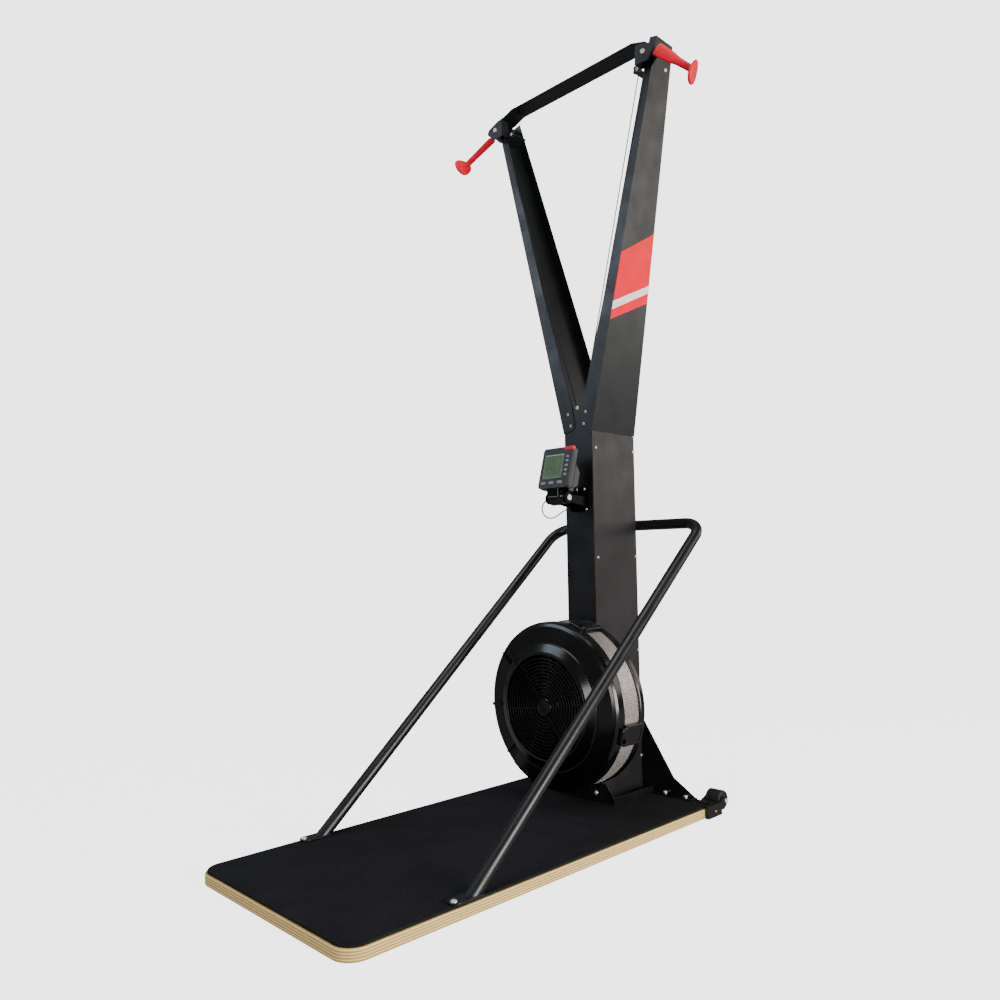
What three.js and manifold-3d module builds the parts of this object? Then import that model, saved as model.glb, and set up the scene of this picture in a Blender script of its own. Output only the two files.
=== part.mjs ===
// Ski trainer: a standing pull machine with two handles, an air flywheel and a floor board.
// Millimetres. +X is the user's right, -Y is the side the user stands on, +Z is up.
// The origin is on the floor, midway along the whole machine.

import * as THREE from 'three';
import { mergeVertices } from 'three/addons/utils/BufferGeometryUtils.js';
import Module from 'manifold-3d';

const wasm = await Module();
wasm.setup();

// Clearances and facets
const seat = 0.3;
const overrun = 2;
const runningGap = 0.5;
const fineFacets = 44;
const roundFacets = 28;
const grilleFacets = 24;
const smallFacets = 16;
const pinFacets = 12;
const cordFacets = 6;
const cornerFacets = 3;
const boardFacets = 8;

// Floor board: plywood with a rubber mat on top
const boardWidth = 600;
const boardLength = 1250;
const boardCorner = 48;
const boardThick = 26;
const boardRound = 4;
const matThick = 5;
const matInset = 5;

// Column: folded front and rear channels closed by two side panels
const columnHalf = 54;
const columnDepth = 204;
const columnSetback = 12;
const columnHeight = 1107;
const forkRise = 85;
const forkInset = 6;
const sheet = 2.5;
const channelLip = 40;
const panelThick = 2;
const shaftHole = 33;

// Arms: tapered channels, open towards each other
const armLean = THREE.MathUtils.degToRad(13.77);
const armLength = 1124;
const armTopDepth = 80;
const armFootFlange = 51.5;
const armKneeHeight = 394;
const armKneeFlange = 37;
const armTopFlange = 24;
const armFootRound = 16;
const armRearFlange = 30;
const armFlangeStand = 2.8;

// Crossbar: a flat strip on the arm tops whose ends are bent down into the arms
const barRise = 7.3;
const barThick = 3;
const barBendIn = 78.5;
const barFall = THREE.MathUtils.degToRad(18.5);
const barShoulderIn = 30.5;
const barTongueIn = 8.5;
const barDepth = 65;
const barAhead = 16;

// Pulley housings, pulleys and their pins
const pulleyIn = 24.5;
const pulleyDrop = 50.7;
const pulleyGroove = 14.5;
const pulleyRim = 18;
const pulleyWidth = 10;
const pulleyPin = 4;
const pulleyBoss = 7;
const housingFront = 36;
const housingWall = 2.5;
const housingInner = 26;
const housingInnerLow = 30;
const housingTopRise = 28;
const housingLowDrop = 27;
const housingCrown = 12;
const housingShoulder = 31;
const housingShoulderRise = 13;
const housingTip = 40;
const housingHeel = 24;
const housingHeelDrop = 16;
const housingToe = 9;
const housingToeDrop = 30;
const tabInner = 56;
const tabTopDrop = 8;
const tabLowDrop = 31;
const tabRound = 3;
const guideInner = 57;
const guideOuter = 13;
const guideBehindFlange = 24;
const guideDrop = 22.3;
const guideFront = 5;
const guideStep = 3.6;
const guideDepth = 58;

// Idler pulleys in the column head
const idlerRise = 43;
const cordSpread = 4;
const idlerGroove = 14;
const idlerRim = 17;
const idlerWidth = 9;
const idlerStand = 7;
const idlerHead = 7;
const idlerHeadThick = 2;

// Drive cords and drums
const cordWidth = 3;
const cordEndGap = 1.4;
const drumGroove = 18;
const drumFlange = 25;
const drumWidth = 20;
const drumFlangeThick = 2;
const caseRadius = 32;
const caseWidth = 12;

// Handles
const gripReachRight = 35.2;
const gripReachLeft = 39;
const leadFallRight = THREE.MathUtils.degToRad(33.3);
const leadFallLeft = THREE.MathUtils.degToRad(42.2);
const leadAheadRight = 6.8;
const leadAheadLeft = -2.4;
const gripFallRight = THREE.MathUtils.degToRad(43.2);
const gripFallLeft = THREE.MathUtils.degToRad(23.8);
const gripAheadRight = THREE.MathUtils.degToRad(-17);
const gripAheadLeft = THREE.MathUtils.degToRad(5.6);
const gripTwistRight = THREE.MathUtils.degToRad(14.5);
const gripTwistLeft = THREE.MathUtils.degToRad(72.5);
const gripLength = 132;
const gripHalfWidths = [16.4, 18.2, 18.2, 16.2, 11, 9.6, 9.6, 12.5];
const gripHalfDepths = [6, 7.2, 7.6, 8, 9.4, 9.8, 10, 12.5];
const gripPlaceShares = [0, 0.012, 0.1, 0.35, 0.62, 0.82, 0.92, 1];
const stopLength = 64;
const stopWidth = 59;
const stopThick = 10;
const stopRound = 3;
const stopHeel = 25.6;
const stopLean = THREE.MathUtils.degToRad(20.5);
const stopTaperShare = 0.3;

// Flywheel cage and rotor
const hubHeight = 316;
const cageFront = 174;
const cageRadius = 235;
const cageWall = 3;
const grilleRadius = 144;
const coneRadius = 175;
const coneRise = 14;
const faceRadius = 222;
const faceRise = 24;
const shoulderRadius = 232;
const shoulderRise = 30;
const rimRise = 37;
const frontCoverDepth = 62;
const bandDepth = 64;
const bandInset = 3.5;
const bandThick = 1.5;
const rearRimDepth = 22;
const rearFaceRadius = 224;
const rearCoverDepth = 38;
const rearHole = 31;
const ringCount = 11;
const ringWidth = 3;
const ringDepth = 5;
const grilleHub = 20;
const spokeCount = 6;
const spokeWidth = 3;
const spokeTurn = THREE.MathUtils.degToRad(7.6);
const sleeveRadius = 151;
const sleeveDepth = 34;

// Damper ring with its lever
const damperInner = 152;
const damperOuter = 226;
const damperThick = 3;
const damperPlace = 31;
const windowStart = THREE.MathUtils.degToRad(136);
const windowEnd = THREE.MathUtils.degToRad(230);
const windowInner = 179;
const leverTurn = THREE.MathUtils.degToRad(184);
const leverInner = 184;
const leverOuter = 222;
const leverWidth = 8;
const leverRise = 17;
const ventCount = 12;
const ventRadius = 11;
const ventCircle = 200;

// Rotor, shaft, bearings and their bracket
const rotorHub = 26;
const rotorHubDepth = 60;
const rotorPlace = 72;
const rotorDisc = 196;
const rotorDiscThick = 4;
const bladeCount = 20;
const bladeInner = 96;
const bladeOuter = 216;
const bladeDepth = 42;
const bladeThick = 2.5;
const shaftRadius = 8.5;
const shaftStart = 58;
const shaftTail = 12;
const bearingRadius = 21;
const bearingWidth = 12;
const bossRadius = 30;
const bracketHalf = 46;
const bracketThick = 5;
const bracketArmHalf = 40;
const bracketArmThick = 3;
const bracketArmHeight = 50;
const frontBossTail = 11;
const rearBossDepth = 20;

// Rim clips over the band
const clipTurns = [-14, 70, 250].map(THREE.MathUtils.degToRad);
const clipWidth = 58;
const clipHeight = 11;
const clipFoot = 5;
const clipOverlap = 9;
const clipSlotWidth = 20;
const clipSlotDepth = 4;
const clipSlotLength = 14;
const clipEdge = 12;

// Foot tray, rear gusset
const shoeTopHalf = 77;
const shoeTop = 54;
const shoeHalf = 106;
const shoeSkirt = 20;
const shoeWall = 3;
const shoeLength = 190;
const gussetTopHalf = 46;
const gussetTop = 262;
const gussetKneeInset = 135;
const gussetKnee = 49;
const gussetInset = 57;
const gussetThick = 4;
const gussetToe = 28;
const gussetToeInner = 112;

// Support hoop
const hoopRadius = 16;
const hoopInset = 17.5;
const hoopHeight = 829;
const hoopFootAhead = 303;
const hoopBend = 62;
const hoopCurl = 58;
const padLength = 92;
const padWidth = 36;
const padThick = 5;
const padBack = 30;
const saddleWidth = 44;
const saddleThick = 3;
const saddleEar = 26;

// Monitor
const monitorHalf = 57;
const monitorTall = 124;
const monitorThick = 22;
const bezelThick = 9;
const monitorTilt = THREE.MathUtils.degToRad(15.5);
const monitorLowAhead = 122;
const monitorLowZ = 934;
const monitorCorner = 8;
const screenShares = { left: 0.095, right: 0.735, top: 0.163, low: 0.757 };
const screenDeep = 2;
const sideKeyShares = [0.247, 0.35, 0.467, 0.58, 0.69];
const sideKeyPlaceShare = 0.857;
const sideKeyWidth = 11;
const sideKeyTall = 7.5;
const lowKeyShares = [0.165, 0.442, 0.716];
const lowKeyPlaceShare = 0.872;
const lowKeyWidth = 20;
const lowKeyTall = 9.5;
const keyStand = 2;
const keyDeep = 3;
const keyGap = 0.4;
const tabWidth = 34;
const tabTall = 10;
const tabProud = 1;
const packHalf = 42;
const packTall = 78;
const packThick = 24;
const packSlope = 16;
const pivotAhead = 93;
const pivotZ = 905;
const pivotRadius = 17;
const pivotHalf = 29;
const pivotPin = 5;
const earThick = 9;
const earGap = 0.6;
const neckHalf = 22;
const pinHead = 2.5;
const wallPlateHalf = 36;
const wallPlateTop = 941;
const wallPlateLow = 868;
const wallPlateThick = 3.5;
const wallPlateRound = 12;
const stayTall = 15;
const stayDrop = 10;

// Monitor lead: a thin free loop from the hinge to the wall plate
const leadWidth = 3;
const leadSteps = 24;

// Transport rollers
const rollerRadius = 27;
const rollerWidth = 44;
const rollerInset = 21;
const rollerBehind = 34;
const rollerHeight = 32;
const rollerRound = 3;
const axleRadius = 5;
const axleHead = 9;
const blockOut = 12;
const blockLength = 62;
const blockWall = 8;
const topPlateIn = 44;
const topPlateThick = 3;
const rollerArm = 7;
const rollerArmTall = 26;

// Places worked out from the sizes above
const deck = boardThick + seat + matThick;
const overhang = rollerBehind + rollerRadius;
const boardMiddle = -overhang / 2;
const boardRear = boardMiddle + boardLength / 2;
const columnRear = boardRear - columnSetback;
const columnFront = columnRear - columnDepth;
const columnFoot = deck + seat + shoeWall + seat;
const panelInner = columnHalf - panelThick;
const channelHalf = panelInner - seat;
const cageFrontY = columnFront - cageFront;
const monitorLowY = columnFront - monitorLowAhead;
const pivotY = columnFront - pivotAhead;
const hoopFootY = boardMiddle - hoopFootAhead;
const forkHeight = columnHeight + forkRise;
const armHeadX = columnHalf + armLength * Math.sin(armLean);
const armHeadZ = columnHeight + armLength * Math.cos(armLean);
const barTop = armHeadZ + barRise;
const barBend = armHeadX - barBendIn;
const barShoulder = armHeadX - barShoulderIn;
const barTongue = armHeadX - barTongueIn;
const pulleyX = armHeadX - pulleyIn;
const pulleyZ = armHeadZ - pulleyDrop;
const idlerZ = columnHeight + idlerRise;
const gussetKneeHalf = boardWidth / 2 - gussetKneeInset;
const gussetHalf = boardWidth / 2 - gussetInset;
const hoopHalf = boardWidth / 2 - hoopInset;
const rollerX = boardWidth / 2 - rollerInset;
const barFront = columnFront - barAhead;
const housingBack = columnFront - armFlangeStand - seat;
const housingFace = columnFront - housingFront;
const pulleyY = (housingFace + housingWall + housingBack - housingWall) / 2;
const idlerY = columnFront + sheet + idlerStand + idlerWidth / 2;
const idlerX = cordSpread + cordWidth / 2 + seat + idlerGroove;
const frontBossEnd = columnFront + frontBossTail;
const frontCaseY = frontBossEnd + seat + caseWidth / 2;
const frontDrumY = frontCaseY + caseWidth / 2 + seat + drumWidth / 2;
const rearDrumY = frontDrumY + drumWidth + seat;
const rearCaseY = rearDrumY + drumWidth / 2 + seat + caseWidth / 2;
const rearBossY = rearCaseY + caseWidth / 2 + seat;

// Finishes
function finish(color, roughness, metalness) {
  return new THREE.MeshStandardMaterial({ color, roughness, metalness });
}
const plywood = finish('#dcc48c', 0.6, 0);
const matRubber = finish('#1a1b1d', 0.9, 0);
const slatePaint = finish('#2f3a3e', 0.55, 0.2);
const panelPaint = finish('#4a4a4c', 0.45, 0.2);
const blackPaint = finish('#15171a', 0.5, 0.2);
const glossPlastic = finish('#0c0d0f', 0.25, 0);
const mattPlastic = finish('#1b1c1e', 0.6, 0);
const redPlastic = finish('#d62b33', 0.45, 0);
const meshSteel = finish('#a8a19a', 0.4, 0.8);
const brightSteel = finish('#b9bcc0', 0.3, 0.9);
const monitorPlastic = finish('#26323a', 0.5, 0);
const monitorGrey = finish('#6a6a6c', 0.55, 0);
const screenGlass = finish('#6d8f62', 0.3, 0);
const cordFibre = finish('#101112', 0.8, 0);

const machine = new THREE.Group();
machine.name = 'ski_trainer';

// A closed geometry becomes a solid for cutting and joining.
function solid(geometry) {
  const bare = geometry.clone();
  bare.deleteAttribute('normal');
  bare.deleteAttribute('uv');
  const merged = mergeVertices(bare);
  return new wasm.Manifold(new wasm.Mesh({
    numProp: 3,
    vertProperties: merged.attributes.position.array,
    triVerts: new Uint32Array(merged.index.array),
  }));
}

function joined(geometries) {
  return geometries.map(solid).reduce((whole, next) => whole.add(next));
}

function cut(body, tools) {
  return tools.map(solid).reduce((whole, next) => whole.subtract(next), body);
}

function geometryOf(body) {
  const mesh = body.getMesh();
  const geometry = new THREE.BufferGeometry();
  geometry.setAttribute('position', new THREE.BufferAttribute(mesh.vertProperties, mesh.numProp));
  geometry.setIndex(new THREE.BufferAttribute(mesh.triVerts, 1));
  geometry.computeVertexNormals();
  return geometry;
}

function add(name, body, material) {
  const geometry = body.isBufferGeometry ? body : geometryOf(body);
  const mesh = new THREE.Mesh(geometry, material);
  mesh.name = name;
  machine.add(mesh);
  return mesh;
}

// The same piece for the other side: x is negated and the faces are turned back outwards.
function mirrored(body) {
  const geometry = body.isBufferGeometry ? body.clone() : geometryOf(body);
  const source = geometry.index ? geometry : mergeVertices(geometry);
  const flipped = source.clone();
  flipped.scale(-1, 1, 1);
  const index = flipped.index.array;
  for (let corner = 0; corner < index.length; corner += 3) {
    [index[corner + 1], index[corner + 2]] = [index[corner + 2], index[corner + 1]];
  }
  flipped.computeVertexNormals();
  return flipped;
}

function outline(points) {
  return new THREE.Shape(points.map(([across, up]) => new THREE.Vector2(across, up)));
}

// A closed outline whose listed corners are rounded by their radius.
function roundedOutline(corners, facets = cornerFacets) {
  const shape = new THREE.Shape();
  corners.forEach(([across, up, radius = 0], place) => {
    const here = new THREE.Vector2(across, up);
    const before = corners[(place + corners.length - 1) % corners.length];
    const after = corners[(place + 1) % corners.length];
    if (radius === 0) {
      if (place === 0) shape.moveTo(here.x, here.y);
      else shape.lineTo(here.x, here.y);
      return;
    }
    const back = new THREE.Vector2(before[0], before[1]).sub(here).normalize();
    const ahead = new THREE.Vector2(after[0], after[1]).sub(here).normalize();
    const halfAngle = Math.acos(THREE.MathUtils.clamp(back.dot(ahead), -1, 1)) / 2;
    const run = radius / Math.tan(halfAngle);
    const start = here.clone().addScaledVector(back, run);
    const end = here.clone().addScaledVector(ahead, run);
    if (place === 0) shape.moveTo(start.x, start.y);
    else shape.lineTo(start.x, start.y);
    const heart = here.clone().addScaledVector(back.clone().add(ahead).normalize(), radius / Math.sin(halfAngle));
    const first = Math.atan2(start.y - heart.y, start.x - heart.x);
    const last = Math.atan2(end.y - heart.y, end.x - heart.x);
    const sweepAngle = Math.atan2(Math.sin(last - first), Math.cos(last - first));
    for (let step = 1; step <= facets; step += 1) {
      const turn = first + sweepAngle * step / facets;
      shape.lineTo(heart.x + radius * Math.cos(turn), heart.y + radius * Math.sin(turn));
    }
  });
  shape.closePath();
  return shape;
}

function roundedRect(width, height, radius, facets = cornerFacets) {
  return roundedOutline([
    [-width / 2, -height / 2, radius],
    [width / 2, -height / 2, radius],
    [width / 2, height / 2, radius],
    [-width / 2, height / 2, radius],
  ], facets);
}

function roundHole(shape, x, y, radius, facets = pinFacets) {
  const hole = new THREE.Path();
  for (let step = 0; step < facets; step += 1) {
    const turn = -2 * Math.PI * step / facets;
    const along = x + radius * Math.cos(turn);
    const up = y + radius * Math.sin(turn);
    if (step === 0) hole.moveTo(along, up);
    else hole.lineTo(along, up);
  }
  hole.closePath();
  shape.holes.push(hole);
  return shape;
}

function slab(shape, thickness) {
  return new THREE.ExtrudeGeometry(shape, { depth: thickness, bevelEnabled: false, curveSegments: cornerFacets });
}

// An outline drawn in x and z, from its front face backwards.
function frontPlate(shape, frontY, thickness) {
  return slab(shape, thickness).rotateX(Math.PI / 2).translate(0, frontY + thickness, 0);
}

// An outline drawn in y and z, from its inner face towards +x.
function sidePlate(shape, innerX, thickness) {
  const turn = new THREE.Matrix4().makeBasis(
    new THREE.Vector3(0, 1, 0), new THREE.Vector3(0, 0, 1), new THREE.Vector3(1, 0, 0));
  return slab(shape, thickness).applyMatrix4(turn).translate(innerX, 0, 0);
}

function floorPlate(shape, lowZ, thickness) {
  return slab(shape, thickness).translate(0, 0, lowZ);
}

function block(lowX, highX, lowY, highY, lowZ, highZ) {
  return new THREE.BoxGeometry(highX - lowX, highY - lowY, highZ - lowZ)
    .translate((lowX + highX) / 2, (lowY + highY) / 2, (lowZ + highZ) / 2);
}

// A round bar along y from startY to endY.
function rodY(radius, startY, endY, x, z, facets = pinFacets) {
  return new THREE.CylinderGeometry(radius, radius, endY - startY, facets)
    .translate(x, (startY + endY) / 2, z);
}

// A round bar along x from startX to endX.
function rodX(radius, startX, endX, y, z, facets = pinFacets) {
  return new THREE.CylinderGeometry(radius, radius, endX - startX, facets)
    .rotateZ(Math.PI / 2).translate((startX + endX) / 2, y, z);
}

// A closed profile of [radius, y] points turned about the y axis.
function turned(points, facets) {
  const profile = points.map(([radius, along]) => new THREE.Vector2(radius, along));
  profile.push(profile[0].clone());
  const geometry = new THREE.LatheGeometry(profile, facets);
  return solid(geometry).volume() < 0 ? turned([...points].reverse(), facets) : geometry;
}

function ringY(inner, outer, startY, endY, facets) {
  return turned([[inner, startY], [outer, startY], [outer, endY], [inner, endY]], facets);
}

// A route whose stations are the exact places of a swept section.
class Stations extends THREE.Curve {
  constructor(points) {
    super();
    this.points = points;
  }

  getPoint(share) {
    const place = share * (this.points.length - 1);
    const low = Math.min(Math.floor(place), this.points.length - 2);
    return this.points[low].clone().lerp(this.points[low + 1], place - low);
  }

  getPointAt(share) {
    return this.getPoint(share);
  }

  getTangentAt(share) {
    const place = Math.round(share * (this.points.length - 1));
    const before = this.points[Math.max(place - 1, 0)];
    const here = this.points[place];
    const after = this.points[Math.min(place + 1, this.points.length - 1)];
    const inward = here.clone().sub(before).normalize();
    const outward = after.clone().sub(here).normalize();
    return inward.add(outward).normalize();
  }
}

function sweep(points, radius, facets) {
  const section = new THREE.Shape();
  for (let step = 0; step < facets; step += 1) {
    const turn = 2 * Math.PI * step / facets;
    const across = radius * Math.cos(turn);
    const up = radius * Math.sin(turn);
    if (step === 0) section.moveTo(across, up);
    else section.lineTo(across, up);
  }
  section.closePath();
  const route = new Stations(points);
  return new THREE.ExtrudeGeometry(section, { steps: points.length - 1, extrudePath: route, curveSegments: 1 });
}

// Points along an arc from start to end around a centre, in the plane of the two radii.
function arcPoints(centre, start, end, steps) {
  const first = start.clone().sub(centre);
  const last = end.clone().sub(centre);
  const angle = first.angleTo(last);
  const axis = first.clone().cross(last).normalize();
  return Array.from({ length: steps + 1 }, (unused, step) => (
    first.clone().applyAxisAngle(axis, angle * step / steps).add(centre)));
}

// Floor board and mat
function makeBoard() {
  const inner = roundedRect(boardWidth - 2 * boardRound, boardLength - 2 * boardRound, boardCorner - boardRound,
    boardFacets);
  const ply = new THREE.ExtrudeGeometry(inner, {
    depth: boardThick - 2 * boardRound,
    bevelEnabled: true,
    bevelThickness: boardRound,
    bevelSize: boardRound,
    bevelSegments: 2,
  }).translate(0, 0, boardRound);
  add('platform_board', solid(ply), plywood).position.y = boardMiddle;
  const mat = roundedRect(boardWidth - 2 * matInset, boardLength - 2 * matInset, boardCorner - matInset,
    boardFacets);
  add('grip_mat', solid(floorPlate(mat, boardThick + seat, matThick)), matRubber).position.y = boardMiddle;
}

// Column channels: a flat face with two lips, and a wider head that the arms are bolted to
function headOutline(half) {
  const flare = Math.tan(armLean) * (forkHeight - columnHeight);
  return outline([
    [-half, columnFoot], [half, columnFoot],
    [half, columnHeight - seat], [columnHalf - forkInset, columnHeight - seat],
    [columnHalf - forkInset + flare, forkHeight], [-(columnHalf - forkInset + flare), forkHeight],
    [-(columnHalf - forkInset), columnHeight - seat], [-half, columnHeight - seat],
  ]);
}

function makeColumnFront() {
  const face = roundHole(headOutline(channelHalf), 0, hubHeight, shaftHole, smallFacets);
  const lipTop = columnHeight - seat;
  const parts = [frontPlate(face, columnFront, sheet)];
  for (const side of [-1, 1]) {
    const inner = side * (channelHalf - sheet / 2);
    parts.push(block(inner - sheet / 2, inner + sheet / 2, columnFront, columnFront + channelLip,
      columnFoot, lipTop));
    const x = side * idlerX;
    const pinEnd = idlerY + idlerWidth / 2 + runningGap;
    parts.push(rodY(pulleyPin, columnFront, pinEnd + idlerHeadThick, x, idlerZ));
    parts.push(rodY(idlerHead, pinEnd, pinEnd + idlerHeadThick, x, idlerZ));
    parts.push(rodY(idlerHead, columnFront, idlerY - idlerWidth / 2 - runningGap, x, idlerZ));
  }
  add('column_front', joined(parts), slatePaint);
}

function makeColumnRear() {
  const back = columnRear - sheet;
  const face = outline([
    [-channelHalf, columnFoot], [channelHalf, columnFoot],
    [channelHalf, columnHeight - seat], [-channelHalf, columnHeight - seat],
  ]);
  const parts = [frontPlate(face, back, sheet)];
  for (const side of [-1, 1]) {
    const inner = side * (channelHalf - sheet / 2);
    parts.push(block(inner - sheet / 2, inner + sheet / 2, columnRear - channelLip, columnRear,
      columnFoot, columnHeight - seat));
  }
  add('column_rear', joined(parts), blackPaint);
}

function makeSidePanels() {
  const panel = outline([
    [columnFront + seat, columnFoot], [columnRear - seat, columnFoot],
    [columnRear - seat, columnHeight - seat], [columnFront + seat, columnHeight - seat],
  ]);
  const right = sidePlate(panel, panelInner, panelThick);
  add('side_panel_right', solid(right), panelPaint);
  add('side_panel_left', mirrored(right), panelPaint);
}

// Arms: drawn upright in their own frame, then leant outwards
function makeArms() {
  const frontY = columnFront - armFlangeStand;
  const rearFoot = columnRear + armFlangeStand;
  const rearTop = frontY + armTopDepth;
  const side = outline([
    [frontY, 0], [rearFoot, 0], [rearTop, armLength], [frontY, armLength],
  ]);
  const web = sidePlate(side, -sheet, sheet);
  const flange = roundedOutline([
    [0, 0], [0, armLength], [-armTopFlange, armLength], [-armKneeFlange, armKneeHeight],
    [-armFootFlange, forkHeight - columnHeight], [-armFootFlange + cordSpread, 0, armFootRound],
  ]);
  const front = frontPlate(flange, frontY, sheet);
  const rearEdge = outline([
    [rearFoot - sheet, 0], [rearFoot, 0], [rearTop, armLength], [rearTop - sheet, armLength],
  ]);
  const rear = sidePlate(rearEdge, -armRearFlange, armRearFlange);
  const arm = joined([web, front, rear]);
  const right = add('arm_right', arm, slatePaint);
  right.rotation.y = armLean;
  right.position.set(columnHalf, 0, columnHeight);
  const left = add('arm_left', mirrored(arm), slatePaint);
  left.rotation.y = -armLean;
  left.position.set(-columnHalf, 0, columnHeight);
}

// Crossbar: a flat strip with bent ends and narrower tongues inside the arms
function stripOutline(end) {
  const drop = (end - barBend) * Math.tan(barFall);
  const low = barTop - barThick;
  return outline([
    [-end, low - drop], [-barBend, low], [barBend, low], [end, low - drop],
    [end, barTop - drop], [barBend, barTop], [-barBend, barTop], [-end, barTop - drop],
  ]);
}

function makeCrossbar() {
  const tongueFront = columnFront + seat;
  const strip = joined([
    frontPlate(stripOutline(barShoulder), barFront, barDepth),
    frontPlate(stripOutline(barTongue), tongueFront, barFront + barDepth - tongueFront),
  ]);
  add('crossbar', strip, blackPaint);
}

// Pulley housings: a hat-shaped bracket with the pulley pin, and a bolted tab over the sloping cord plate
function slopingPlate(inner, outer) {
  const high = pulleyZ - guideDrop;
  const fall = (outer - inner) * Math.tan(barFall);
  return outline([
    [inner, high - barThick], [outer, high - fall - barThick], [outer, high - fall], [inner, high],
  ]);
}

function makeHousings() {
  const backFace = housingBack - housingWall;
  const innerTop = pulleyX - housingInner;
  const innerLow = pulleyX - housingInnerLow;
  const wallTop = pulleyZ + housingTopRise;
  const wallLow = pulleyZ - housingLowDrop;
  const face = roundedOutline([
    [innerTop, wallTop],
    [innerLow, wallLow],
    [pulleyX + housingToe, pulleyZ - housingToeDrop, pulleyBoss],
    [pulleyX + housingHeel, pulleyZ - housingHeelDrop, pulleyBoss],
    [pulleyX + housingTip, pulleyZ, pulleyBoss],
    [pulleyX + housingShoulder, pulleyZ + housingShoulderRise, pulleyBoss],
    [pulleyX - housingCrown, wallTop],
  ]);
  const wallShape = outline([
    [innerTop, wallTop], [innerLow, wallLow], [innerLow + housingWall, wallLow], [innerTop + housingWall, wallTop],
  ]);
  const tab = roundedOutline([
    [pulleyX - tabInner, pulleyZ - tabLowDrop, tabRound],
    [innerLow + housingWall, pulleyZ - tabLowDrop],
    [innerLow + housingWall, pulleyZ - tabTopDrop],
    [pulleyX - tabInner, pulleyZ - tabTopDrop, tabRound],
  ]);
  const guideFace = housingBack - guideFront;
  const guideTurn = columnFront + guideStep - armFlangeStand;
  const guideStart = pulleyX - guideInner;
  const right = joined([
    frontPlate(face, housingFace, housingWall),
    frontPlate(face, backFace, housingWall),
    frontPlate(wallShape, housingFace, housingBack - housingFace),
    frontPlate(tab, backFace, housingWall),
    frontPlate(slopingPlate(guideStart, pulleyX - guideBehindFlange), guideFace, guideDepth),
    frontPlate(slopingPlate(guideStart, pulleyX - guideOuter), guideTurn, guideFace + guideDepth - guideTurn),
    rodY(pulleyPin, housingFace, housingBack, pulleyX, pulleyZ),
    rodY(pulleyBoss, housingFace, pulleyY - pulleyWidth / 2 - runningGap, pulleyX, pulleyZ),
    rodY(pulleyBoss, pulleyY + pulleyWidth / 2 + runningGap, housingBack, pulleyX, pulleyZ),
  ]);
  add('pulley_housing_right', right, blackPaint);
  add('pulley_housing_left', mirrored(right), blackPaint);
}

// The straight run of the right cord between the idler and the top pulley
function cordRun() {
  const top = new THREE.Vector3(pulleyX, pulleyY, pulleyZ);
  const low = new THREE.Vector3(idlerX, idlerY, idlerZ);
  const topRadius = pulleyGroove + seat + cordWidth / 2;
  const lowRadius = idlerGroove + seat + cordWidth / 2;
  const along = new THREE.Vector2(top.x - low.x, top.z - low.z);
  const lean = Math.atan2(along.x, along.y);
  const spread = Math.asin((lowRadius - topRadius) / along.length());
  const turn = lean + spread;
  const normal = new THREE.Vector3(-Math.cos(turn), 0, Math.sin(turn));
  return {
    top, low, topRadius, lowRadius,
    topTouch: top.clone().addScaledVector(normal, topRadius),
    lowTouch: low.clone().addScaledVector(normal, lowRadius),
  };
}

// Where a cord leaves its top pulley, and where the grip docks, both drawn on the right side
function gripDock(leadFall, leadAhead, gripReach) {
  const top = cordRun().top;
  const leave = new THREE.Vector3(Math.sin(leadFall), 0, Math.cos(leadFall));
  const topLeave = top.clone().addScaledVector(leave, pulleyGroove + seat + cordWidth / 2);
  const lead = new THREE.Vector3(Math.cos(leadFall), 0, -Math.sin(leadFall)).multiplyScalar(gripReach);
  const dock = topLeave.clone().add(lead).add(new THREE.Vector3(0, -leadAhead, 0));
  return { topLeave, dock };
}

const dockRight = gripDock(leadFallRight, leadAheadRight, gripReachRight);
const dockLeft = gripDock(leadFallLeft, leadAheadLeft, gripReachLeft);

function makeCords() {
  const run = cordRun();
  const crown = run.top.clone().add(new THREE.Vector3(0, 0, run.topRadius));
  const lowLeave = run.low.clone().add(new THREE.Vector3(-run.lowRadius, 0, 0));
  const drumRadius = drumGroove + seat + cordWidth / 2;
  const makeRoute = (drumY, sideways, { topLeave, dock }) => [
    new THREE.Vector3(sideways * drumRadius, drumY, hubHeight),
    ...arcPoints(run.low, lowLeave, run.lowTouch, 4),
    ...arcPoints(run.top, run.topTouch, crown, 4),
    ...arcPoints(run.top, crown, topLeave, 3).slice(1),
    dock.clone().add(topLeave.clone().sub(dock).setLength(cordEndGap)),
  ];
  const right = sweep(makeRoute(rearDrumY, 1, dockRight), cordWidth / 2, cordFacets);
  const left = sweep(makeRoute(frontDrumY, -1, dockLeft), cordWidth / 2, cordFacets);
  add('drive_cord_right', solid(right), cordFibre);
  add('drive_cord_left', mirrored(solid(left)), cordFibre);
}

// A grooved wheel turned about the y axis, placed by its mesh position
function grooved(bore, groove, rim, width, lip, facets) {
  const half = width / 2;
  return solid(turned([
    [bore, -half], [rim, -half], [rim, -half + lip], [groove, -lip / 2],
    [groove, lip / 2], [rim, half - lip], [rim, half], [bore, half],
  ], facets));
}

function makePulleys() {
  const lip = 1.5;
  const topPulley = grooved(pulleyPin + seat, pulleyGroove, pulleyRim, pulleyWidth, lip, smallFacets);
  const idler = grooved(pulleyPin + seat, idlerGroove, idlerRim, idlerWidth, lip, smallFacets);
  for (const [word, side] of [['right', 1], ['left', -1]]) {
    add(`top_pulley_${word}`, topPulley, mattPlastic).position.set(side * pulleyX, pulleyY, pulleyZ);
    add(`idler_pulley_${word}`, idler, mattPlastic).position.set(side * idlerX, idlerY, idlerZ);
  }
}

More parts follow.
